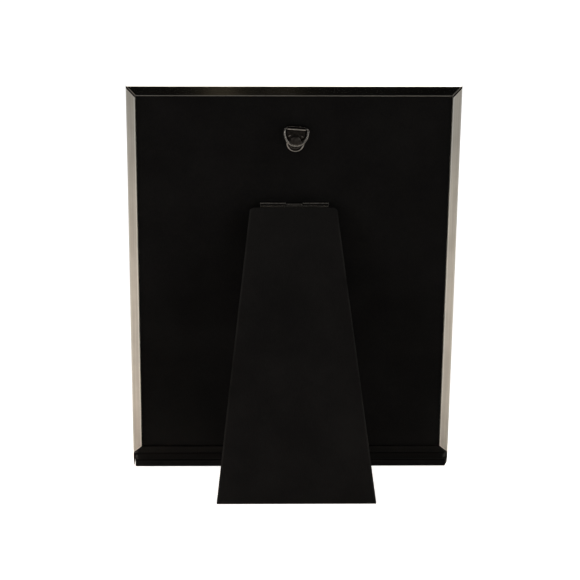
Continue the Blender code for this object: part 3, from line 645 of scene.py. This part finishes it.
def makeLeg(board):
    sizes = legSizes
    covering = blackCovering("Leg", legAngle, "leg")
    place = Matrix.Translation(hingeAt) @ legTurn
    low, high = boxAlong(legTurn, "leg_inner_cover")
    base = (legTurn.inverted() @ hingeAt).y
    near = low.y - base
    far = boxAlong(legTurn, "leg_outer_cover")[1].y - base
    wall = sizes["wrapWall"]
    length = high.z - low.z
    wrapNear = near + sizes["liningThick"] + sizes["coreRoom"]

    bm = legSlab(0, length, wrapNear, far, sizes["cornerRadius"], sizes["edgeRounding"], sizes["edgeSteps"])
    foot = cutAtTable(bm, place, sizes["wrapLift"])
    bmesh.ops.inset_region(bm, faces=foot, thickness=wall, use_even_offset=True)
    pocket = bmesh.ops.extrude_face_region(bm, geom=foot)
    bmesh.ops.delete(bm, geom=[found for found in foot if found.is_valid], context="FACES_ONLY")
    roof = vertsIn(pocket)
    narrow = (sizes["topWidth"] / 2 - wall) / (sizes["footWidth"] / 2 - wall)
    middle = sizes["footSideways"] - hingeAt.x
    top = sizes["topSideways"] - hingeAt.x
    bmesh.ops.transform(bm, matrix=place.inverted(), verts=roof)
    for vertex in roof:  # the pocket's end, up to just below the leg's top
        vertex.co.x = top + (vertex.co.x - middle) * narrow
        vertex.co.z += length - sizes["cornerRadius"]
    bmesh.ops.transform(bm, matrix=place, verts=roof)
    addPiece("legWrap", bm, "leg", [covering], ["leg_outer_cover"])

    room = wall + sizes["coreRoom"]
    bm = legSlab(room, length, wrapNear + room, far - room, sizes["coreRadius"], sizes["coreRounding"])
    cutAtTable(bm, place, 0)
    addPiece("legBoard", bm, "leg", [board], ["leg_core"])

    bm = legSlab(sizes["liningInset"], length, near, near + sizes["liningThick"], sizes["liningRadius"])
    cutAtTable(bm, place, sizes["liningInset"])
    addPiece("legLining", bm, "leg", [covering], ["leg_inner_cover"])
    print("leg made")


# the leg's hinge
hingeSizes = {
    "length": 0.0446, "middle": 0.0104, "gap": 0.0003, "rollRadius": 0.001, "sheet": 0.0005,
    "leafDrop": 0.026, "notchDrop": 0.00155, "rollTurn": 308.0, "rollSteps": 28, "edge": 0.00008,
    "middleShare": 0.7, "middleTurn": 1.2, "middleSheet": 0.0004, "wornTip": 0.0004,
    "pinRadius": 0.00048, "pinOverhang": 0.0002, "pinSteps": 28, "cornerRadius": 0.002, "cornerSteps": 6,
    "pinRounding": [(0.6, 0.00004), (0.93, 0.00018), (1, 0.0004)]}  # share of the radius, back from the end

hingeHighlightBands = {  # painted highlight bands as (from, full, full, to): radians round the barrel or drops below it
    "legHigh": (0.2, 0.42, 0.6, 0.85), "legHighShare": 0.35,
    "legLow": (0.0008, 0.0011, 0.0015, 0.0018), "legLowShare": 0.5,
    "backHigh": (0.72, 0.97, 1.17, 1.42), "backHighShare": 0.8,
    "backLow": (-1.3, -1.05, -0.62, -0.42), "backLowShare": 0.95, "endShare": 0.45, "barrelReach": 0.0014}


def rollHighlights(point, turned):  # two painted highlight lines along the barrel, seen from behind, and painted highlights at its ends
    sizes, bands = hingeSizes, hingeHighlightBands
    angle = atan2(point.z, point.y) + turned
    if turned:  # the middle knuckle and the flat sheet below it
        high = bands["legHighShare"] * bandShare(angle, *bands["legHigh"])
        return max(high, bands["legLowShare"] * bandShare(-point.z, *bands["legLow"]))
    if (point.y ** 2 + point.z ** 2) ** 0.5 > bands["barrelReach"]:
        return 0.0
    half, tip = sizes["length"] / 2, sizes["wornTip"]
    return max(
        bands["backHighShare"] * bandShare(angle, *bands["backHigh"]),
        bands["backLowShare"] * bandShare(angle, *bands["backLow"]),
        bands["endShare"] * smoothShare(abs(point.x), half - tip, half - tip * 0.5))


def rolledLeaf(side, rolledSpans, notchSpans):  # side -1 lies on the back, 1 on the leg
    sizes = hingeSizes
    half, middle, gap = sizes["length"] / 2, sizes["middle"] / 2, sizes["gap"]
    roll, tip = sizes["rollRadius"], sizes["wornTip"]
    stops = [-half, tip - half, -middle - gap, -middle, middle, middle + gap, half - tip, half]
    bm = bmesh.new()
    edges = runOf(bm, [(across, side * roll, 0) for across in stops])
    rows = edges
    for drop in (sizes["notchDrop"], sizes["leafDrop"] - sizes["notchDrop"]):
        rows = drawEdges(bm, rows, (0, 0, -drop))

    def within(across, spans):
        return any(low < across < high for low, high in spans)

    rolled = [edge for edge in edges if within((edge.verts[0].co.x + edge.verts[1].co.x) / 2, rolledSpans)]
    angle = radians(side * sizes["rollTurn"])
    spinEdges(bm, rolled, (0, 0, 0), (1, 0, 0), angle, sizes["rollSteps"])
    gone = []
    for found in bm.faces:
        centre = found.calc_center_median()
        beside = abs(centre.y - side * roll) < sameSpot and -sizes["notchDrop"] < centre.z < 0
        if beside and within(centre.x, notchSpans):
            gone.append(found)
    bmesh.ops.delete(bm, geom=gone, context="FACES")
    merge(bm)
    if side > 0:  # the middle knuckle is rolled tighter than the outer two
        for vertex in bm.verts:
            if vertex.co.z > sameSpot or vertex.co.y < roll * 0.99:
                turned = atan2(vertex.co.z, vertex.co.y) % (2 * pi)
                share = 1 - (1 - sizes["middleShare"]) * smoothShare(turned, 0, sizes["middleTurn"])
                vertex.co.y *= share
                vertex.co.z *= share
    tips = [
        vertex for vertex in bm.verts
        if abs(abs(vertex.co.x) - half) < sameSpot and vertex.co.z < 0.001 - sizes["leafDrop"]]
    rounded(bm, tips, sizes["cornerRadius"], sizes["cornerSteps"], "VERTICES")
    faceOutwards(bm)
    return sheetFrom(bm, sizes["sheet"] if side < 0 else sizes["middleSheet"], sizes["edge"], 50)


def turnedOn(outline, steps):  # a profile of (radius, along) turned about +Y
    bm = bmesh.new()
    edges = runOf(bm, [(radius, along, 0) for radius, along in outline])
    spinEdges(bm, edges, (0, 0, 0), (0, 1, 0), 2 * pi, steps, True)
    merge(bm)
    return bm


rivetSizes = {  # heads as (height, shank's radius); the rolled rim as shares of the radius and its height
    "hangerHead": (0.0012, 0.0014), "hingeHead": (0.0006, 0.0009), "steps": 40, "domeSteps": 8,
    "rimShare": 0.22, "rimRoll": [(1, 1), (0.985, 0.3), (0.95, 0)], "shoulder": 1.05, "crown": 0.85}


def rivetOutline(radius, height, shank, length):  # a low dome with a rolled rim
    sizes = rivetSizes
    rim = height * sizes["rimShare"]
    outline = [(0, height)]
    for step in range(1, sizes["domeSteps"] + 1):
        angle = step / sizes["domeSteps"] * pi / 2
        up = rim + (height - rim) * cos(angle) ** sizes["crown"]
        outline.append((radius * sin(angle) ** sizes["shoulder"], up))
    outline += [(radius * wide, rim * high) for wide, high in sizes["rimRoll"]]
    return outline + [(shank, 0), (shank, -length), (0, -length)]


def rivetFrom(node, way, outward, material, body, shownName):
    low, high = boxAlong(way, node)
    middle = (low + high) / 2
    radius = (high.x - low.x) / 2
    height, shank = rivetSizes["hangerHead" if node == "hanger_rivet" else "hingeHead"]
    length = high.y - low.y - height
    seat = high.y - height if outward > 0 else low.y + height
    bm = turnedOn(rivetOutline(radius, height, shank, length), rivetSizes["steps"])
    if outward < 0:
        turn(bm, pi, "X")
    place = way @ Matrix.Translation((middle.x, seat, middle.z))
    addPiece(shownName, bm, body, [material], [node], place)


def makeHinge():
    sizes = hingeSizes
    metal, legMetal = gunmetal("Hinge", panelAngle, "hinge"), gunmetal("LegLeaf", legAngle, "hinge")
    half, middle, gap = sizes["length"] / 2, sizes["middle"] / 2, sizes["gap"]
    place = Matrix.Translation(hingeAt)
    bm = rolledLeaf(-1, [(-half, -middle - gap), (middle + gap, half)], [(-middle - gap, middle + gap)])
    addPiece("hingeBackLeaf", bm, "back", [metal], ["hinge_leaf_back"], place @ panelTurn,
             wearAndHighlight=lambda point: rollHighlights(point, 0))
    bm = rolledLeaf(1, [(-middle, middle)], [(-half, -middle), (middle, half)])
    addPiece("hingeLegLeaf", bm, "leg", [legMetal], ["hinge_leaf_leg"], place @ legTurn,
             wearAndHighlight=lambda point: rollHighlights(point, openAngle))
    reach = half + sizes["pinOverhang"]
    outline = [(0, reach)]
    outline += [(sizes["pinRadius"] * share, reach - short) for share, short in sizes["pinRounding"]]
    outline += [(across, -along) for across, along in reversed(outline)]
    bm = turnedOn(outline, sizes["pinSteps"])
    turn(bm, -pi / 2, "Z")
    addPiece("hingePin", bm, "back", [metal], ["hinge_pin"], place @ panelTurn)
    for index in range(1, 5):
        rivetFrom(f"hinge_rivet_back_{index}", panelTurn, 1, metal, "back", f"hingeBackRivet{index}")
        rivetFrom(f"hinge_rivet_leg_{index}", legTurn, -1, legMetal, "leg", f"hingeLegRivet{index}")
    print("hinge made")


# the strap hanger and its D ring
strapSizes = {  # fades go in from the tab's rim, up from its round end's middle, or out from a dimple
    "foldWidth": 0.012, "tabWidth": 0.0113, "length": 0.01655, "sheet": 0.0006, "rollRadius": 0.00115,
    "rollTurn": 180.0, "rollSteps": 20, "flap": 0.0009, "flapSteps": 5, "rings": 22, "tabSteps": 44,
    "rows": 44, "edge": 0.00012, "lowFade": 0.003,
    "rimHeight": 0.00028, "rimFade": (0.00042, 0.00098), "grooveDepth": 0.00022,
    "grooveFade": (0.0015, 0.0019),
    "dimplePitch": 0.0085, "dimpleDrop": 0.0059, "dimpleHeight": 0.00034, "dimpleFade": (0.00016, 0.0008)}

strapHighlightBands = {
    "fold": (0.000045, 0.000315), "foldShare": 0.75, "top": (0.0009, 0.0013), "topLightShare": 0.1,
    "low": (0.001, 0.003), "rim": (0.00035, 0.00077), "inner": (0.0016, 0.0018, 0.002, 0.0024),
    "innerShare": 0.12, "dimple": (0.0004, 0.0008), "dimpleShare": 0.4}

tabCentre = strapSizes["tabWidth"] / 2 - strapSizes["length"]  # the middle of the tab's round end


def onStrap(across, up):  # how far a place is from the tab's rim, the round end's middle and a dimple
    sizes = strapSizes
    above = up - tabCentre
    fromEdge = sizes["tabWidth"] / 2 - (across ** 2 + min(0.0, above) ** 2) ** 0.5
    aside = abs(across) - sizes["dimplePitch"] / 2
    return fromEdge, above, (aside ** 2 + (up + sizes["dimpleDrop"]) ** 2) ** 0.5


def strapRelief(across, up):  # how far the pressed sheet stands forward at one place
    sizes = strapSizes
    fromEdge, above, fromDimple = onStrap(across, up)
    rim = 1 - smoothShare(fromEdge, *sizes["rimFade"])
    groove = bandShare(fromEdge, *sizes["rimFade"], *sizes["grooveFade"])
    low = 1 - smoothShare(above, 0, sizes["lowFade"])
    pressed = low * (rim * sizes["rimHeight"] - groove * sizes["grooveDepth"])
    return pressed + sizes["dimpleHeight"] * (1 - smoothShare(fromDimple, *sizes["dimpleFade"]))


def strapHighlights(point):  # painted highlights on the fold's lower front edge, the tab's rim and the dimples
    bands = strapHighlightBands
    if point.y > 0:  # the flap in front of the ring's wire
        fold = bands["foldShare"] * smoothShare(-point.z, *bands["fold"])
        return max(fold, bands["topLightShare"] * smoothShare(point.z, *bands["top"]))
    fromEdge, above, fromDimple = onStrap(point.x, point.z)
    rim = 1 - smoothShare(fromEdge, *bands["rim"])
    rim = max(rim, bands["innerShare"] * bandShare(fromEdge, *bands["inner"]))
    low = 1 - smoothShare(above, *bands["low"])
    return max(low * rim, bands["dimpleShare"] * (1 - smoothShare(fromDimple, *bands["dimple"])))


def makeHanger():
    sizes = strapSizes
    metal, rivetMetal = gunmetal("Strap", hangerAngle, "strap"), gunmetal("Rivet", hangerAngle, "rivet")
    tab, roll, count = sizes["tabWidth"] / 2, sizes["rollRadius"], sizes["rings"]
    bm = bmesh.new()
    edges = runOf(bm, [(tab * step / count, -roll, tabCentre) for step in range(count + 1)])
    spinEdges(bm, edges, (0, 0, tabCentre), (0, 1, 0), pi, sizes["tabSteps"])
    if min(vertex.co.z for vertex in bm.verts) > tabCentre - tab / 2:  # turned the other way
        for vertex in bm.verts:
            vertex.co.z = 2 * tabCentre - vertex.co.z
    merge(bm)
    rows = [edge for edge in bm.edges if all(abs(end.co.z - tabCentre) < sameSpot for end in edge.verts)]
    widen = (sizes["foldWidth"] / sizes["tabWidth"]) ** (1 / sizes["rows"])
    for step in range(sizes["rows"]):
        rows = drawEdges(bm, rows, (0, 0, -tabCentre / sizes["rows"]))
        bmesh.ops.scale(bm, verts=endsOf(rows), vec=(widen, 1, 1))
    flat = bm.verts[:]
    angle = -radians(sizes["rollTurn"])
    spinEdges(bm, rows, (0, 0, 0), (1, 0, 0), angle, sizes["rollSteps"])
    rows = [
        edge for edge in bm.edges
        if all(end.co.y > roll * 0.999 and end.co.z < sameSpot for end in edge.verts)]
    for step in range(sizes["flapSteps"]):
        rows = drawEdges(bm, rows, (0, 0, -sizes["flap"] / sizes["flapSteps"]))
    for vertex in flat:
        vertex.co.y += strapRelief(vertex.co.x, vertex.co.z)
    merge(bm)
    faceOutwards(bm)
    bm = sheetFrom(bm, sizes["sheet"], sizes["edge"], 55)
    place = Matrix.Translation(ringAt) @ hangerTurn
    addPiece("hangerStrap", bm, "back", [metal], ["hanger_strap"], place, 50.0, strapHighlights)
    rivetFrom("hanger_rivet", hangerTurn, 1, rivetMetal, "back", "hangerRivet")
    print("hanger made")


ringSizes = {
    "wire": 0.0007, "width": 0.0167, "drop": 0.0123, "cornerRadius": 0.0021, "straight": 0.0006,
    "sides": 6, "cornerSteps": 8, "bowSteps": 60, "seamShare": 0.1, "seamDepth": 0.25,
    "ringLegHighlight": 0.29, "ringBowHighlight": 0.18, "ringHighlightFrom": (0.0012, 0.0032), "bowFrom": (0.0085, 0.011)}


def arcOf(centre, wide, high, first, last, steps):  # (across, up) of points on part of an oval
    turns = [first + (last - first) * step / steps for step in range(steps + 1)]
    return [(centre[0] + wide * cos(turn), centre[1] + high * sin(turn)) for turn in turns]


def makeRing():
    sizes = ringSizes
    half = sizes["width"] / 2 - sizes["wire"]
    radius = sizes["cornerRadius"]
    sideEnd = radius + sizes["straight"]
    drop = sizes["drop"] - sizes["wire"] - sideEnd
    corner, bow = sizes["cornerSteps"], sizes["bowSteps"]
    points = arcOf((half - radius, -radius), radius, radius, pi / 2, 0, corner)
    seam = len(points) + round((bow + 1) * sizes["seamShare"])
    points += arcOf((0, -sideEnd), half, drop, 0, -pi, bow)
    points += arcOf((radius - half, -radius), radius, radius, pi, pi / 2, corner)
    curve = bpy.data.curves.new("ringWire", "CURVE")
    curve.dimensions = "3D"
    curve.bevel_depth = sizes["wire"]
    curve.bevel_resolution = sizes["sides"]
    line = curve.splines.new("POLY")
    line.points.add(len(points) - 1)
    for index, (point, (across, up)) in enumerate(zip(line.points, points)):
        point.co = (across, 0, up, 1)
        point.radius = 1 - sizes["seamDepth"] if index == seam else 1.0
    line.use_cyclic_u = True
    bm = shapeOf(inScene("ringWire", curve))
    place = Matrix.Translation(ringAt) @ ringTurn
    metal = gunmetal("Ring", hangerAngle, "ring")
    addPiece("hangerRing", bm, "ring", [metal], ["hanger_ring"], place, 60.0, ringHighlights)
    print("ring made")


def ringHighlights(point):  # painted highlight below, less on the legs and none at the corners beside the fold
    sizes = ringSizes
    legs = smoothShare(-point.z, *sizes["ringHighlightFrom"])
    return legs * (sizes["ringLegHighlight"] + sizes["ringBowHighlight"] * smoothShare(-point.z, *sizes["bowFrom"]))


# the rail's ends and seals
railEndSizes = {  # outlines as (inwards from the rail's end, down from its underside)
    "railEndLeft": [(0, -0.0012), (0.00108, -0.0012), (0.00108, 0.0044), (0, 0.0026)],
    "railEndRight": [(0, -0.0012), (0.001, -0.0012), (0.001, 0.001), (0.0004, 0.0042), (0, 0.0042)],
    "setIn": 0.0002, "foreInset": 0.0008, "rearInset": 0.0004, "edge": 0.0001, "edgeSteps": 2}


def makeRailEnds(paint):  # thin lugs below the rail's ends, seen outside the pad
    sizes = railEndSizes
    low, high = boxAlong(panelTurn, "base_rail")
    near, far = low.y + sizes["foreInset"], high.y - sizes["rearInset"]
    for name, end, inwards in (("railEndLeft", low.x, 1), ("railEndRight", high.x, -1)):
        outer = end + inwards * sizes["setIn"]
        bm = bmesh.new()
        faceOf(bm, [(outer + inwards * inside, near, low.z - down) for inside, down in sizes[name]])
        drawOut(bm, (0, far - near, 0))
        rounded(bm, bm.edges[:], sizes["edge"], sizes["edgeSteps"])
        addPiece(name, bm, "frame", [paint], (), panelTurn)


sealSizes = {"setback": 0.0009, "deep": 0.0012, "endInset": 0.0008, "play": 0.00002, "edge": 0.00005}


def makeSeals(rubber):  # thin strips that close the seats above and below the rail
    sizes = sealSizes
    for name, above, below in (("railSeal", "bottom_bar", "base_rail"), ("padSeal", "base_rail", "foot_pad")):
        upper, lower = boxAlong(panelTurn, above), boxAlong(panelTurn, below)
        fore = max(upper[0].y, lower[0].y) + sizes["setback"]
        left = max(upper[0].x, lower[0].x) + sizes["endInset"]
        right = min(upper[1].x, lower[1].x) - sizes["endInset"]
        low, high = lower[1].z + sizes["play"], upper[0].z - sizes["play"]
        bm = bmesh.new()
        bmesh.ops.create_cube(bm, size=1.0)
        bmesh.ops.scale(bm, verts=bm.verts, vec=(right - left, sizes["deep"], high - low))
        rounded(bm, bm.edges[:], sizes["edge"], 2)
        middle = ((left + right) / 2, fore + sizes["deep"] / 2, (low + high) / 2)
        addPiece(name, bm, "frame", [rubber], (), panelTurn @ Matrix.Translation(middle))
    print("rail's ends and seals made")


def paintNodes(material, *names):
    for name in names:
        nodes[name].data.materials.clear()
        nodes[name].data.materials.append(material)


paint, rubber, steel, board = blackPaint(), blackRubber(), plainSteel(), fibreBoard("brownHardboard")
for side in ("left", "right"):
    paintNodes(steel, f"corner_key_top_{side}", f"corner_key_bottom_{side}")
    paintNodes(steel, f"edge_spring_upper_{side}", f"edge_spring_lower_{side}")
paintNodes(steel, "rail_screw_1", "rail_screw_2", "rail_screw_3")
paintNodes(paint, "base_rail")
paintNodes(rubber, "foot_pad")
paintNodes(clearGlass(), "glass_pane")
paintNodes(insertPaper(), "photo_insert")
paintNodes(fibreBoard("greyCard"), "backing_card")
paintNodes(board, "back_board")
paintNodes(blackCovering("Back", panelAngle, "panel"), "back_cover")
print("solids finished")

makeBars(paint)
makeRailEnds(paint)
makeSeals(rubber)
makeLeg(board)
makeHinge()
makeHanger()
makeRing()


# floor, light and camera
stageLook = {
    "floor": (0.86, 0.855, 0.845), "floorRadius": 14.0, "floorSteps": 96,
    "mottleSize": 3.0, "mottleShade": 0.985, "glow": 0.8, "farGlow": 1.0, "glowRange": (0.4, 2.5),
    "sky": 0.15, "skyLow": 0.12, "skySeen": 1.1, "skyTint": (1.0, 0.995, 0.985, 1.0), "skyRange": (-0.1, 0.9),
    "flag": (0.013, 0.013, 0.013), "flagPatch": (0.2, 0.175, 0.13), "slimShare": 0.6,
    "wideAt": 0.06, "wideRange": (0.005, 0.03), "slimAt": -0.028, "slimRange": (0.002, 0.016),
    "flagDistance": 1.8, "flagWidth": 2.6, "flagHeight": 1.0}


def makeFloor():
    look = stageLook
    bm = bmesh.new()
    bmesh.ops.create_circle(bm, cap_ends=True, radius=look["floorRadius"], segments=look["floorSteps"])
    floor = objectFrom("floor", bm)
    material, coords = startMaterial("paleFloor")
    mottle = coords.noise(look["mottleSize"])
    colour = mottle.between(tuple(look["mottleShade"] * part for part in look["floor"]), look["floor"])
    plain = coords.node("BsdfDiffuse", {}, {"Color": colour})
    away = coords.node("VectorMath", {"operation": "LENGTH"}, {0: coords}, "Value").step(*look["glowRange"])
    strength = away * (look["farGlow"] - look["glow"]) + look["glow"]
    glow = coords.node("Emission", {}, {"Color": (1, 1, 1, 1), "Strength": strength})
    seen = coords.node("LightPath", {}, {}, "Is Camera Ray")
    extra = coords.node("MixShader", {}, {0: seen, 2: glow})
    both = coords.node("AddShader", {}, {0: plain, 1: extra})
    coords.node("OutputMaterial", {}, {"Surface": both})
    floor.data.materials.append(material)


def makeSky():
    look = stageLook
    world = bpy.data.worlds.new("softStudio")
    bpy.context.scene.world = world
    world.use_nodes = True
    world.node_tree.nodes.clear()
    start = Wire(world.node_tree)
    height = start.node("TexCoord", {}, {}, "Generated").parts()[2]
    level = height.step(*look["skyRange"]) * (look["sky"] - look["skyLow"]) + look["skyLow"]
    seen = start.node("LightPath", {}, {}, "Is Camera Ray")
    strength = seen * (look["skySeen"] - level) + level
    back = start.node("Background", {}, {"Color": look["skyTint"], "Strength": strength})
    start.node("OutputWorld", {}, {"Surface": back})


def makeFlag():  # a dark board behind the camera with two paler patches, seen only in reflections
    look = stageLook
    bm = bmesh.new()
    bmesh.ops.create_grid(bm, x_segments=1, y_segments=1, size=0.5)
    bmesh.ops.scale(bm, verts=bm.verts, vec=(look["flagWidth"], look["flagHeight"], 1))
    turn(bm, pi / 2, "X")
    bmesh.ops.translate(bm, verts=bm.verts, vec=(0, look["flagDistance"], look["flagHeight"] / 2))
    flag = objectFrom("flag", bm)
    material, coords = startMaterial("darkFlag")
    across = coords.parts()[0]
    wide = 1 - abs(across - look["wideAt"]).step(*look["wideRange"])
    slim = 1 - abs(across - look["slimAt"]).step(*look["slimRange"])
    colour = (wide + slim * look["slimShare"]).between(look["flag"], look["flagPatch"])
    coords.node("OutputMaterial", {}, {"Surface": coords.node("BsdfDiffuse", {}, {"Color": colour})})
    flag.data.materials.append(material)
    flag.visible_camera = flag.visible_diffuse = flag.visible_shadow = flag.visible_transmission = False


lamps = [  # name, place, aimed at, size, watts, degrees it fans out, colour
    ("top", (0.0, 0.06, 0.6), (0, 0.06, 0.0), (0.3, 0.2), 1.2, 180, (1.0, 0.92, 0.82)),
    ("poolLeft", (0.52, 0.43, 0.95), (0.22, 0.15, 0.0), (0.05, 0.05), 0.074, 28, (1.0, 0.8, 0.66)),
    ("poolRight", (-0.52, 0.43, 0.95), (-0.22, 0.15, 0.0), (0.05, 0.05), 0.049, 28, (1.0, 0.82, 0.66)),
    ("poolLeftFoot", (0.42, 0.3, 0.95), (0.12, 0.02, 0.0), (0.05, 0.05), 0.022, 13, (1.0, 0.78, 0.64)),
    ("poolRightFoot", (-0.42, 0.3, 0.95), (-0.12, 0.02, 0.0), (0.05, 0.05), 0.01, 13, (1.0, 0.82, 0.66)),
    ("softLeft", (1.55, 0.75, 0.85), (0, 0.04, 0.12), (0.2, 0.9), 4.8, 180, (1.0, 0.98, 0.95)),
    ("softRight", (-1.55, 0.75, 0.85), (0, 0.04, 0.12), (0.2, 0.9), 4.8, 180, (1.0, 0.98, 0.95)),
    ("lowLeft", (0.9, 0.9, 0.14), (0, 0.03, 0.1), (0.25, 0.18), 1.3, 180, (1.0, 0.98, 0.96)),
    ("lowRight", (-0.9, 0.9, 0.14), (0, 0.03, 0.1), (0.25, 0.18), 1.3, 180, (1.0, 0.98, 0.96)),
    ("topFront", (0.0, -1.6, 1.41), (0, 0.0, 0.27), (1.3, 0.4), 3.7, 180, (1.0, 0.99, 0.98)),
    ("softFront", (0.0, -2.0, 0.95), (0, 0.0, 0.14), (2.8, 0.75), 3.6, 180, (1.0, 0.99, 0.98))]


def makeLamps():
    for name, place, aim, size, watts, fan, colour in lamps:
        light = bpy.data.lights.new(name, "AREA")
        light.shape = "RECTANGLE"
        light.size, light.size_y = size
        light.energy = watts
        light.spread = radians(fan)
        light.color = colour
        lamp = inScene(name, light)
        lamp.location = place
        lamp.rotation_euler = (Vector(aim) - Vector(place)).to_track_quat("-Z", "Y").to_euler()
        lamp.visible_camera = False
        lamp.visible_glossy = not name.startswith("pool")  # the pools only light the floor


cameraPlace = {
    "at": (0.0364, 1.61007, 0.40469), "pitch": 0.1737, "yaw": -0.0222, "roll": 0.0032,
    "focalPixels": 2405.3, "imagePixels": 580, "sensor": 36.0, "seesTo": 60.0}


def makeCamera():
    look = cameraPlace
    yaw, pitch, roll = look["yaw"], look["pitch"], look["roll"]
    ahead = Vector((sin(yaw) * cos(pitch), -cos(yaw) * cos(pitch), -sin(pitch)))
    right = Vector((-cos(yaw), -sin(yaw), 0))
    above = right.cross(ahead)
    across = cos(roll) * right + sin(roll) * above
    upward = cos(roll) * above - sin(roll) * right
    data = bpy.data.cameras.new("camera")
    data.sensor_width = look["sensor"]
    data.lens = look["focalPixels"] / look["imagePixels"] * look["sensor"]
    data.clip_end = look["seesTo"]
    camera = inScene("camera", data)
    aim = Matrix((across, upward, -ahead)).transposed().to_4x4()
    camera.matrix_world = Matrix.Translation(look["at"]) @ aim
    bpy.context.scene.camera = camera


makeFloor()
makeSky()
makeFlag()
makeLamps()
makeCamera()
bpy.context.scene.view_settings.view_transform = "Standard"
print("stage set")
